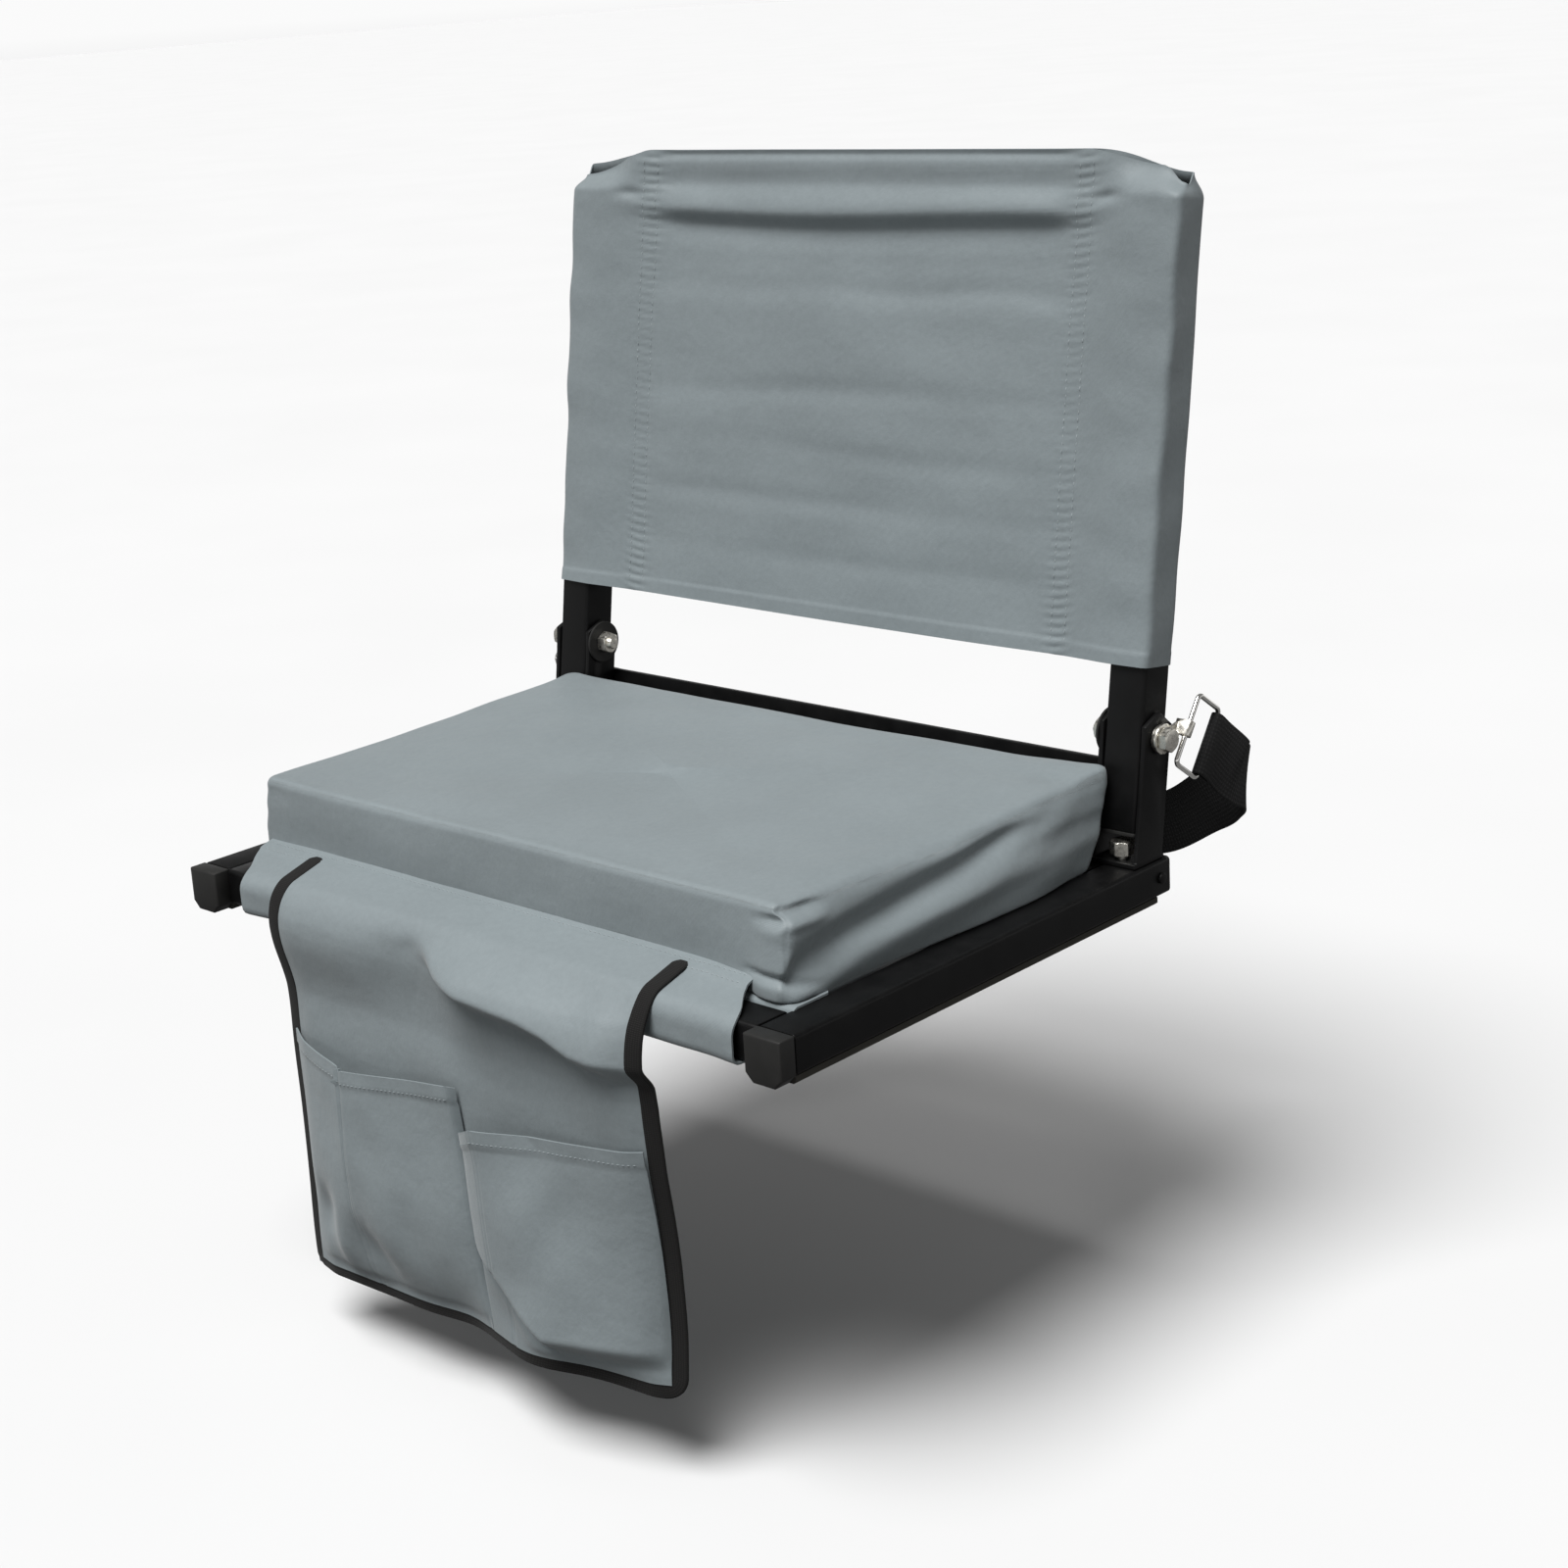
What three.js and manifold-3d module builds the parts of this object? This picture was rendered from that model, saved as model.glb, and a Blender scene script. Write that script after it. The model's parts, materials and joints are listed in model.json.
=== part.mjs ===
// A folding stadium seat: two steel rails with rubber grips and two cross bars carry a canvas sling
// and a box cushion, a canvas back on two hinged uprights folds down over the cushion, a pouch with
// two pockets hangs from the front bar, and a webbing strap joins two wire rings at the hinges.
// Millimetres. X runs to the sitter's left, Y to the back and Z up; left and right are as seen from the front.
// The origin lies on the bench plane under the middle of the rails.

import * as THREE from 'three';
import { mergeVertices } from 'three/addons/utils/BufferGeometryUtils.js';
import Module from 'manifold-3d';

const wasm = await Module();
wasm.setup();

// Frame
const seatWidth = 490;
const railLength = 340;
const railHeight = 22;
const tubeWidth = 25;
const tubeWall = 1.5;
const tubeCorner = 2.5;
const frontBarSetback = 10;
const rearBarInset = 25;
const fitGap = 0.3;
const cutOverrun = 1;

// Rail ends and grips
const capLength = 12;
const capChamfer = 4.5;
const capLift = 0.5;
const capEdge = 1;
const spigotLength = 14;
const plugFlange = 2;
const gripThickness = 5;
const gripWidth = 22;
const gripEdge = 1.5;
const gripRearGap = 11;
const plugRivetRadius = 1.6;
const plugRivetHeadRadius = 3.4;
const plugRivetHeadHeight = 1.4;
const plugRivetInset = 9;

// Canvas
const canvasThickness = 1.2;
const slingLeftInset = 24;
const slingRightInset = 9;
const slingHemRise = 9.8;

// Cushion
const cushionFrontInset = 47.5;
const cushionRearGap = 1;
const cushionRearLean = 4.5;
const cushionFrontSideInset = 26;
const cushionRearSideInset = 22;
const cushionFootBulge = 8;
const cushionFrontHeight = 49.1;
const cushionRearHeight = 53.1;
const cushionCrown = 1.6;
const cushionCorner = 10;
const cushionDrawIn = 3;
const cushionLift = 0.4;
const coverThickness = 1.4;
const zipSlotLength = 300;
const zipSlotHeight = 7;
const zipSlotRise = 18;

// Hinges
const reclineDegrees = 8.7;
const pivotInset = 7.4;
const uprightInset = 5;
const uprightFoot = 57.4;
const uprightFootGap = 1.4;
const uprightReach = 300;
const flangeThickness = 3;
const flangeGap = 0.5;
const earRadius = 15;
const plateThickness = 3;
const plateFrontMargin = 8.5;
const plateRearInset = 4;
const pivotBoltRadius = 4;
const boltFlats = 13;
const pivotHeadHeight = 5.5;
const pivotNutHeight = 6.5;
const pivotBoltEnd = 2.5;
const holeClearance = 0.3;
const spacerRadius = 6;
const pivotWasherRadius = 8;
const pivotWasherThickness = 1.5;
const pivotDiscRadius = 14;
const pivotDiscThickness = 1.5;
const plateBoltInset = 25;
const plateBoltInward = 15.5;
const plateBoltHeadFoot = 6;
const plateBoltHeadHeight = 8.2;
const plateBoltRadius = 4;
const plateNutHeight = 6.5;
const plateBoltEnd = 1.5;

// Stop bar between the uprights
const stopBarHeight = 25;
const stopBarThickness = 5;
const stopBarFootInset = 12.5;
const stopBarEndInset = 5;
const stopRivetRadius = 2.5;
const stopRivetHeadRadius = 4.6;
const stopRivetHeadHeight = 2.2;
const stopRivetSpacing = 12;
const stopRivetGrip = 3;

// Back canvas
const backFoot = 40.9;
const sleeveTopRise = 29.5;
const stitchInset = 68;
const panelSetback = 7;
const sleeveTipInset = 3.5;
const canvasCorner = 1.5;
const backSag = 5;
const backFoldDepth = 3;
const backTopFoldDrop = 46;
const backFoldHalfHeight = 13;
const cornerDroop = 15;

// Pouch
const pouchLeftInset = 31;
const pouchRightInset = 61;
const pouchHingeDrop = 10.9;
const pouchHingeGap = 1.8;
const pouchDropLeft = 239.6;
const pouchDropRight = 228.6;
const pouchCorner = 14;
const bindingWidth = 11;
const bindingThickness = 2;
const yokeHemInset = 2.2;
const flapFoldDepth = 6;
const flapFoldCentreDrop = 46;
const flapFoldHalfWidth = 20;
const flapFoldRise = 62;
const pocketGap = 6;
const pocketDivide = 9;
const leftPocketTop = 86;
const rightPocketTop = 92;
const pocketTilt = 10;
const leftPocketDepth = 17;
const rightPocketDepth = 18;

// Strap and rings
const ringWireRadius = 1.5;
const ringLength = 46;
const ringReach = 28;
const ringCorner = 3.5;
const ringPlaneOffset = 9;
const ringStandoff = 26.7;
const hookThickness = 2;
const hookEyeRadius = 9;
const hookArmWidth = 8;
const hookCurlWall = 1.6;
const hookCurlLength = 9;
const strapWidth = 38;
const strapThickness = 1.8;
const strapTail = 26;
const strapReach = 76;
const strapRest = 2;

// Places worked out from the sizes above
const railFront = -railLength / 2;
const railRear = railLength / 2;
const railOuter = seatWidth / 2;
const railInner = railOuter - tubeWidth;
const railMiddle = railOuter - tubeWidth / 2;
const railBottom = gripThickness;
const railTop = gripThickness + railHeight;
const frontBarFront = railFront + frontBarSetback;
const frontBarRear = frontBarFront + tubeWidth;
const rearBarRear = railRear - rearBarInset;
const rearBarFront = rearBarRear - tubeWidth;
const slingFront = frontBarFront - fitGap - canvasThickness;
const slingTop = railTop + fitGap + canvasThickness;
const slingUnderside = railTop + fitGap;
const slingFoot = railBottom - fitGap - canvasThickness;
const slingLeft = railInner - slingLeftInset;
const slingRight = railInner - slingRightInset;
const slingHemHeight = slingTop + slingHemRise;
const cushionFront = railFront + cushionFrontInset;
const cushionFoot = slingTop + cushionLift;
const cushionFrontTop = cushionFoot + cushionFrontHeight;
const cushionRearTop = cushionFoot + cushionRearHeight;
const cushionFrontHalf = railOuter - cushionFrontSideInset;
const cushionRearHalf = railOuter - cushionRearSideInset;
const plateBoltY = railRear - plateBoltInset;
const plateFront = plateBoltY - plateFrontMargin;
const cushionRear = plateFront - cushionRearGap;
const cushionDepthAtFoot = cushionRear - cushionFront;
const cushionDepthAtTop = cushionDepthAtFoot + cushionRearLean;
const hemInset = fitGap + 2 * canvasThickness;
const hemRear = cushionFront - hemInset;
const recline = THREE.MathUtils.degToRad(reclineDegrees);
const leanPerHeight = Math.tan(recline);
const pivotY = railRear - pivotInset;
const uprightOuter = railOuter - uprightInset;
const uprightInner = uprightOuter - tubeWidth;
const innerFlangeOuter = uprightInner - flangeGap;
const innerFlangeInner = innerFlangeOuter - flangeThickness;
const outerFlangeInner = uprightOuter + flangeGap;
const outerFlangeOuter = outerFlangeInner + flangeThickness;
const plateBottom = railTop + fitGap;
const plateTop = plateBottom + plateThickness;
const plateBoltX = railOuter - plateBoltInward;
const plateBoltTop = railTop + plateBoltHeadFoot + plateBoltHeadHeight;
const pivotHeight = plateBoltTop + uprightFootGap + uprightFoot;
const hexRadius = boltFlats / Math.sqrt(3);
const washerStart = outerFlangeOuter + fitGap;
const hookStart = washerStart + pivotWasherThickness + fitGap;
const headStart = hookStart + hookThickness + fitGap;
const discStart = innerFlangeInner - fitGap;
const nutStart = discStart - pivotDiscThickness - fitGap;
const ringPlane = outerFlangeOuter + ringPlaneOffset;
const stopBarDrop = uprightFoot - stopBarFootInset - stopBarHeight;
const backHeight = uprightReach + sleeveTopRise - backFoot;
const yokeThickness = canvasThickness;
const pouchLeft = slingLeft - pouchLeftInset;
const pouchRight = slingRight - pouchRightInset;
const pouchHinge = slingTop - pouchHingeDrop;
const pouchFace = slingFront - fitGap - canvasThickness;
const yokeFoot = pouchHinge + pouchHingeGap;
const pouchTop = pouchHinge - pouchHingeGap + fitGap;

// Colours
const powderBlack = new THREE.MeshStandardMaterial({ color: 0x121212, roughness: 0.45, metalness: 0.3 });
const plasticBlack = new THREE.MeshStandardMaterial({ color: 0x2a2928, roughness: 0.6, metalness: 0 });
const gripRubber = new THREE.MeshStandardMaterial({ color: 0x4b4b46, roughness: 0.85, metalness: 0 });
const greyCanvas = new THREE.MeshStandardMaterial({ color: 0x8b969a, roughness: 0.75, metalness: 0 });
const blackTape = new THREE.MeshStandardMaterial({ color: 0x322f2b, roughness: 0.85, metalness: 0 });
const blackWebbing = new THREE.MeshStandardMaterial({ color: 0x151515, roughness: 0.7, metalness: 0 });
const zincSteel = new THREE.MeshStandardMaterial({ color: 0xd6d2c6, roughness: 0.3, metalness: 1 });
const brightWire = new THREE.MeshStandardMaterial({ color: 0xe8e6df, roughness: 0.15, metalness: 1 });
const seatFoam = new THREE.MeshStandardMaterial({ color: 0xd8cfae, roughness: 0.95, metalness: 0 });

// Curve steps
const cornerSteps = 2;
const boltSides = 14;
const discSides = 24;

// Geometry helpers
const axisX = new THREE.Vector3(1, 0, 0);
const axisY = new THREE.Vector3(0, 1, 0);
const axisZ = new THREE.Vector3(0, 0, 1);
const runAlongX = new THREE.Matrix4().makeBasis(axisY, axisZ, axisX);
const runAlongY = new THREE.Matrix4().makeBasis(axisX, axisZ, axisY.clone().negate());

function signedVolume(geometry) {
  const place = geometry.getAttribute('position');
  const corners = geometry.getIndex().array;
  const a = new THREE.Vector3();
  const b = new THREE.Vector3();
  const c = new THREE.Vector3();
  let volume = 0;
  for (let index = 0; index < corners.length; index += 3) {
    a.fromBufferAttribute(place, corners[index]);
    b.fromBufferAttribute(place, corners[index + 1]);
    c.fromBufferAttribute(place, corners[index + 2]);
    volume += a.dot(b.cross(c)) / 6;
  }
  return volume;
}

function solidFrom(points, faces) {
  const geometry = new THREE.BufferGeometry().setFromPoints(points);
  geometry.setIndex(faces.flat());
  if (signedVolume(geometry) < 0) {
    geometry.setIndex(faces.map(([a, b, c]) => [a, c, b]).flat());
  }
  return geometry;
}

function quad(faces, a, b, c, d) {
  faces.push([a, b, c]);
  faces.push([a, c, d]);
}

// A body through rings of points: closed on itself, or closed at each end by a fan.
function loft(rings, isClosed = false) {
  const count = rings[0].length;
  const points = rings.flat();
  const faces = [];
  const bands = isClosed ? rings.length : rings.length - 1;
  for (let band = 0; band < bands; band += 1) {
    const here = band * count;
    const next = ((band + 1) % rings.length) * count;
    for (let index = 0; index < count; index += 1) {
      const after = (index + 1) % count;
      quad(faces, here + index, here + after, next + after, next + index);
    }
  }
  if (!isClosed) {
    closeRing(points, faces, 0, count, true);
    closeRing(points, faces, (rings.length - 1) * count, count, false);
  }
  return solidFrom(points, faces);
}

function closeRing(points, faces, start, count, isFirst) {
  const middle = new THREE.Vector3();
  for (let index = 0; index < count; index += 1) {
    middle.add(points[start + index]);
  }
  points.push(middle.divideScalar(count));
  const centre = points.length - 1;
  for (let index = 0; index < count; index += 1) {
    const here = start + index;
    const after = start + ((index + 1) % count);
    faces.push(isFirst ? [centre, after, here] : [centre, here, after]);
  }
}

// A sheet with a thickness: place(u, v, side) gives the point of its front (0) or back (1) face.
function sheet(columns, rows, place) {
  const points = [];
  for (const side of [0, 1]) {
    for (let row = 0; row <= rows; row += 1) {
      for (let column = 0; column <= columns; column += 1) {
        points.push(place(column / columns, row / rows, side));
      }
    }
  }
  const perSide = (rows + 1) * (columns + 1);
  const at = (row, column, side) => side * perSide + row * (columns + 1) + column;
  const faces = [];
  for (let row = 0; row < rows; row += 1) {
    for (let column = 0; column < columns; column += 1) {
      quad(faces, at(row, column, 0), at(row, column + 1, 0), at(row + 1, column + 1, 0), at(row + 1, column, 0));
      quad(faces, at(row, column, 1), at(row + 1, column, 1), at(row + 1, column + 1, 1), at(row, column + 1, 1));
    }
    quad(faces, at(row + 1, columns, 0), at(row, columns, 0), at(row, columns, 1), at(row + 1, columns, 1));
    quad(faces, at(row, 0, 0), at(row + 1, 0, 0), at(row + 1, 0, 1), at(row, 0, 1));
  }
  for (let column = 0; column < columns; column += 1) {
    quad(faces, at(0, column + 1, 0), at(0, column, 0), at(0, column, 1), at(0, column + 1, 1));
    quad(faces, at(rows, column, 0), at(rows, column + 1, 0), at(rows, column + 1, 1), at(rows, column, 1));
  }
  return solidFrom(points, faces);
}

function outline(points) {
  return new THREE.Shape(points.map(([a, b]) => new THREE.Vector2(a, b)));
}

function roundedBox(minA, minB, maxA, maxB, radius) {
  const shape = new THREE.Shape();
  shape.absarc(maxA - radius, minB + radius, radius, -Math.PI / 2, 0);
  shape.absarc(maxA - radius, maxB - radius, radius, 0, Math.PI / 2);
  shape.absarc(minA + radius, maxB - radius, radius, Math.PI / 2, Math.PI);
  shape.absarc(minA + radius, minB + radius, radius, Math.PI, (3 * Math.PI) / 2);
  shape.closePath();
  return shape;
}

function tubeSection(minA, minB, maxA, maxB) {
  const shape = roundedBox(minA, minB, maxA, maxB, tubeCorner);
  const bore = tubeCorner - tubeWall;
  shape.holes.push(roundedBox(minA + tubeWall, minB + tubeWall, maxA - tubeWall, maxB - tubeWall, bore));
  return shape;
}

function extruded(shape, from, to, steps = 1) {
  const options = { depth: to - from, bevelEnabled: false, curveSegments: cornerSteps, steps };
  return new THREE.ExtrudeGeometry(shape, options).translate(0, 0, from);
}

function alongX(shape, from, to) {
  return extruded(shape, Math.min(from, to), Math.max(from, to)).applyMatrix4(runAlongX);
}

function alongY(shape, from, to) {
  return extruded(shape, -to, -from).applyMatrix4(runAlongY);
}

function rodAlongX(radius, y, z, from, to, sides = boltSides) {
  const rod = new THREE.CylinderGeometry(radius, radius, Math.abs(to - from), sides).rotateZ(Math.PI / 2);
  return rod.translate((from + to) / 2, y, z);
}

function rodAlongY(radius, x, z, from, to, sides = boltSides) {
  const rod = new THREE.CylinderGeometry(radius, radius, Math.abs(to - from), sides);
  return rod.translate(x, (from + to) / 2, z);
}

function rodAlongZ(radius, x, y, from, to, sides = boltSides) {
  const rod = new THREE.CylinderGeometry(radius, radius, Math.abs(to - from), sides).rotateX(Math.PI / 2);
  return rod.translate(x, y, (from + to) / 2);
}

function discAlongX(radius, holeRadius, y, z, from, to, sides = discSides) {
  return cut(rodAlongX(radius, y, z, from, to, sides), [throughX(holeRadius, y, z, from, to)]);
}

function throughX(radius, y, z, from, to) {
  return rodAlongX(radius, y, z, Math.min(from, to) - cutOverrun, Math.max(from, to) + cutOverrun);
}

// Cutting and joining
function toSolid(geometry) {
  const bare = geometry.clone();
  bare.deleteAttribute('normal');
  bare.deleteAttribute('uv');
  const merged = mergeVertices(bare);
  const vertProperties = new Float32Array(merged.getAttribute('position').array);
  const triVerts = new Uint32Array(merged.getIndex().array);
  return new wasm.Manifold(new wasm.Mesh({ numProp: 3, vertProperties, triVerts }));
}

function toGeometry(solid) {
  const { vertProperties, triVerts } = solid.getMesh();
  const geometry = new THREE.BufferGeometry();
  geometry.setAttribute('position', new THREE.BufferAttribute(new Float32Array(vertProperties), 3));
  geometry.setIndex(new THREE.BufferAttribute(new Uint32Array(triVerts), 1));
  return geometry;
}

function cut(geometry, tools) {
  return toGeometry(tools.reduce((solid, tool) => solid.subtract(toSolid(tool)), toSolid(geometry)));
}

function join(geometries) {
  return toGeometry(geometries.map(toSolid).reduce((whole, solid) => whole.add(solid)));
}

function piece(name, geometry, material) {
  const mesh = new THREE.Mesh(geometry, material);
  mesh.name = name;
  return mesh;
}

const sides = [['left', -1], ['right', 1]];

// Rails
function plateBoltHole(side) {
  const radius = plateBoltRadius + holeClearance;
  const low = railTop - tubeWall - cutOverrun;
  return rodAlongZ(radius, side * plateBoltX, plateBoltY, low, plateTop + cutOverrun);
}

function plugRivetHole(side) {
  const y = railRear - plugRivetInset;
  const z = railBottom + railHeight / 2;
  const from = side * (railOuter - tubeWidth / 2);
  return rodAlongX(plugRivetRadius + holeClearance, y, z, from, side * (railOuter + cutOverrun));
}

function rail(side) {
  const middle = side * railMiddle;
  const section = tubeSection(middle - tubeWidth / 2, railBottom, middle + tubeWidth / 2, railTop);
  const tube = alongY(section, railFront + capLength + fitGap, railRear - plugFlange - fitGap);
  return cut(tube, [plateBoltHole(side), plugRivetHole(side)]);
}

function spigotSection(middle) {
  const half = tubeWidth / 2 - tubeWall - fitGap;
  const inset = tubeWall + fitGap;
  return roundedBox(middle - half, railBottom + inset, middle + half, railTop - inset, tubeCorner - tubeWall);
}

function frontCap(side) {
  const middle = side * railMiddle;
  const half = tubeWidth / 2 - capEdge;
  const face = outline([
    [middle - half + capChamfer, capLift + capEdge],
    [middle + half - capChamfer, capLift + capEdge],
    [middle + half, capLift + capEdge + capChamfer],
    [middle + half, railTop - capEdge],
    [middle - half, railTop - capEdge],
    [middle - half, capLift + capEdge + capChamfer],
  ]);
  const options = { depth: capLength - 2 * capEdge, bevelThickness: capEdge, bevelSize: capEdge, bevelSegments: 2 };
  const head = new THREE.ExtrudeGeometry(face, options).translate(0, 0, capEdge - capLength - railFront);
  const spigot = alongY(spigotSection(middle), railFront + capLength / 2, railFront + capLength + spigotLength);
  return join([head.applyMatrix4(runAlongY), spigot]);
}

function rearPlug(side) {
  const middle = side * railMiddle;
  const half = tubeWidth / 2;
  const face = roundedBox(middle - half, railBottom, middle + half, railTop, tubeCorner);
  const flange = alongY(face, railRear - plugFlange, railRear);
  const spigot = alongY(spigotSection(middle), railRear - spigotLength, railRear - plugFlange / 2);
  return cut(join([flange, spigot]), [plugRivetHole(side)]);
}

function plugRivet(side) {
  const y = railRear - plugRivetInset;
  const z = railBottom + railHeight / 2;
  const headStartX = railOuter + fitGap;
  const shank = rodAlongX(plugRivetRadius, y, z, side * (railOuter - spigotLength / 2), side * headStartX);
  const domeEnd = headStartX + plugRivetHeadHeight;
  const dome = rodAlongX(plugRivetHeadRadius, y, z, side * (headStartX - fitGap / 2), side * domeEnd);
  return join([shank, dome]);
}

function gripStrip(side) {
  const middle = side * railMiddle;
  const half = gripWidth / 2;
  const top = gripThickness - fitGap;
  const section = outline([
    [middle - half + gripEdge, 0],
    [middle + half - gripEdge, 0],
    [middle + half, gripEdge],
    [middle + half, top],
    [middle - half, top],
    [middle - half, gripEdge],
  ]);
  return alongY(section, railFront + capLength + fitGap, railRear - gripRearGap);
}

// Cross bars
function crossBar(front) {
  const half = railInner - fitGap;
  return alongX(tubeSection(front, railBottom, front + tubeWidth, railTop), -half, half);
}

// Sling
function barLoop(front, rear) {
  return roundedBox(front - fitGap, railBottom - fitGap, rear + fitGap, railTop + fitGap, tubeCorner);
}

function sling() {
  const wrap = fitGap + canvasThickness;
  const edge = tubeCorner / 2;
  const flapFoot = slingFront + tubeWidth / 2;
  const section = outline([
    [slingFront + edge, slingFoot],
    [frontBarRear + wrap, slingFoot],
    [frontBarRear + wrap, slingUnderside],
    [rearBarFront - wrap, slingUnderside],
    [rearBarFront - wrap, slingFoot],
    [rearBarRear + wrap, slingFoot],
    [rearBarRear + wrap, slingTop],
    [flapFoot, slingTop],
    [hemRear, slingHemHeight - canvasThickness],
    [hemRear, slingHemHeight],
    [slingFront + edge, slingTop],
    [slingFront, slingTop - edge],
    [slingFront, slingFoot + edge],
  ]);
  section.holes.push(barLoop(frontBarFront, frontBarRear), barLoop(rearBarFront, rearBarRear));
  return alongX(section, -slingLeft, slingRight);
}

// Cushion
const cushionSideSteps = 6;
const cushionCornerSteps = 3;
const cushionRingShares = [
  { height: 0, inset: 1.4, bulge: 0 },
  { height: 0.05, inset: 0.2, bulge: 0.8 },
  { height: 0.28, inset: 0, bulge: 1 },
  { height: 0.62, inset: 0, bulge: 0.55 },
  { height: 0.93, inset: 0, bulge: 0 },
  { height: 1, inset: 0.45, bulge: 0 },
];
const cushionTopShares = [0.86, 0.6, 0.3];

// Points round a rounded rectangle of half sizes 1, as shares of each half, with the side's middle marked.
function cushionOutline() {
  const marks = [];
  for (let side = 0; side < 4; side += 1) {
    const turn = (side * Math.PI) / 2;
    for (let step = 0; step <= cushionSideSteps; step += 1) {
      marks.push({ turn, along: (2 * step) / cushionSideSteps - 1, corner: 0 });
    }
    for (let step = 1; step < cushionCornerSteps; step += 1) {
      marks.push({ turn, along: 1, corner: step / cushionCornerSteps });
    }
  }
  return marks;
}

function cushionPoint(mark, halfX, halfY, radius, drawIn) {
  const isSideways = Math.abs(Math.sin(mark.turn)) > Math.SQRT1_2;
  const runHalf = (isSideways ? halfX : halfY) - radius;
  const outHalf = isSideways ? halfY : halfX;
  const pull = drawIn * (1 - mark.along * mark.along);
  const bend = (mark.corner * Math.PI) / 2;
  const out = outHalf - radius + radius * Math.cos(bend) - pull;
  const run = mark.along * runHalf + radius * Math.sin(bend);
  const cos = Math.cos(mark.turn);
  const sin = Math.sin(mark.turn);
  return new THREE.Vector2(out * cos - run * sin, out * sin + run * cos);
}

function cushionBody(inset) {
  const foot = cushionFoot + inset;
  const rings = [];
  const marks = cushionOutline();
  const ringAt = (heightShare, insetX, insetY, bulge, shrinkShare, lift) => marks.map((mark) => {
    const depth = THREE.MathUtils.lerp(cushionDepthAtFoot, cushionDepthAtTop, heightShare);
    const halfY = depth / 2 - insetY - inset;
    const flat = cushionPoint(mark, cushionRearHalf - insetX - inset, halfY, cushionCorner, cushionDrawIn);
    const back = (flat.y / halfY + 1) / 2;
    const narrowing = THREE.MathUtils.lerp(cushionFrontHalf / cushionRearHalf, 1, back);
    const widening = 1 + (bulge * cushionFootBulge) / cushionRearHalf;
    const top = THREE.MathUtils.lerp(cushionFrontTop, cushionRearTop, back) - inset;
    const x = flat.x * narrowing * widening * shrinkShare;
    const y = cushionFront + depth / 2 + flat.y * shrinkShare;
    return new THREE.Vector3(x, y, THREE.MathUtils.lerp(foot, top, heightShare) + lift);
  });
  for (const share of cushionRingShares) {
    const ringInset = share.inset * cushionCorner;
    rings.push(ringAt(share.height, ringInset, ringInset, share.bulge, 1, 0));
  }
  for (const share of cushionTopShares) {
    rings.push(ringAt(1, 0, 0, 0, share, cushionCrown * (1 - share * share)));
  }
  return loft(rings);
}

function cushionCover() {
  const low = cushionFoot + zipSlotRise;
  const reach = 2 * cushionCorner;
  const slot = roundedBox(cushionRear - reach, low, cushionRear + reach, low + zipSlotHeight, zipSlotHeight / 3);
  return cut(cushionBody(0), [cushionBody(coverThickness), alongX(slot, -zipSlotLength / 2, zipSlotLength / 2)]);
}

// Hinge brackets
function flangeOutline() {
  const halfWidth = tubeWidth / 2;
  const reach = halfWidth / Math.cos(recline);
  const footY = pivotY - (pivotHeight - plateBottom) * leanPerHeight;
  const start = -Math.acos(halfWidth / earRadius) - recline;
  const end = Math.PI + Math.acos(halfWidth / earRadius) - recline;
  const shape = new THREE.Shape();
  shape.moveTo(footY - reach, plateBottom);
  shape.lineTo(footY + reach, plateBottom);
  shape.absarc(pivotY, pivotHeight, earRadius, start, end);
  shape.closePath();
  return shape;
}

function hingeBracket(side) {
  const plateRear = railRear - plateRearInset;
  const plate = outline([
    [plateFront, plateBottom],
    [plateRear, plateBottom],
    [plateRear, plateTop],
    [plateFront, plateTop],
  ]);
  const blank = join([
    alongX(flangeOutline(), side * innerFlangeInner, side * innerFlangeOuter),
    alongX(flangeOutline(), side * outerFlangeInner, side * outerFlangeOuter),
    alongX(plate, side * innerFlangeInner, side * outerFlangeOuter),
  ]);
  const pivotHole = throughX(pivotBoltRadius + holeClearance, pivotY, pivotHeight, side * nutStart, side * headStart);
  return cut(blank, [pivotHole, plateBoltHole(side)]);
}

function plateBolt(side) {
  const x = side * plateBoltX;
  const headFoot = railTop + plateBoltHeadFoot;
  const head = rodAlongZ(hexRadius, x, plateBoltY, headFoot, headFoot + plateBoltHeadHeight, 6);
  const end = railTop - tubeWall - fitGap - plateNutHeight - plateBoltEnd;
  return join([head, rodAlongZ(plateBoltRadius, x, plateBoltY, end, headFoot + cutOverrun)]);
}

function plateNut(side) {
  const x = side * plateBoltX;
  const top = railTop - tubeWall - fitGap;
  const blank = rodAlongZ(hexRadius, x, plateBoltY, top - plateNutHeight, top, 6);
  const bore = plateBoltRadius + holeClearance;
  return cut(blank, [rodAlongZ(bore, x, plateBoltY, top - plateNutHeight - cutOverrun, top + cutOverrun)]);
}

// Pivots
function pivotBolt(side) {
  const shankEnd = nutStart - pivotNutHeight - pivotBoltEnd;
  const shank = rodAlongX(pivotBoltRadius, pivotY, pivotHeight, side * shankEnd, side * (headStart + cutOverrun));
  const headEnd = headStart + pivotHeadHeight;
  return join([shank, rodAlongX(hexRadius, pivotY, pivotHeight, side * headStart, side * headEnd, 6)]);
}

function pivotNut(side) {
  const from = side * (nutStart - pivotNutHeight);
  return discAlongX(hexRadius, pivotBoltRadius + holeClearance, pivotY, pivotHeight, from, side * nutStart, 6);
}

function pivotWasher(side) {
  const to = side * (washerStart + pivotWasherThickness);
  const bore = pivotBoltRadius + holeClearance;
  return discAlongX(pivotWasherRadius, bore, pivotY, pivotHeight, side * washerStart, to);
}

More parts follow.
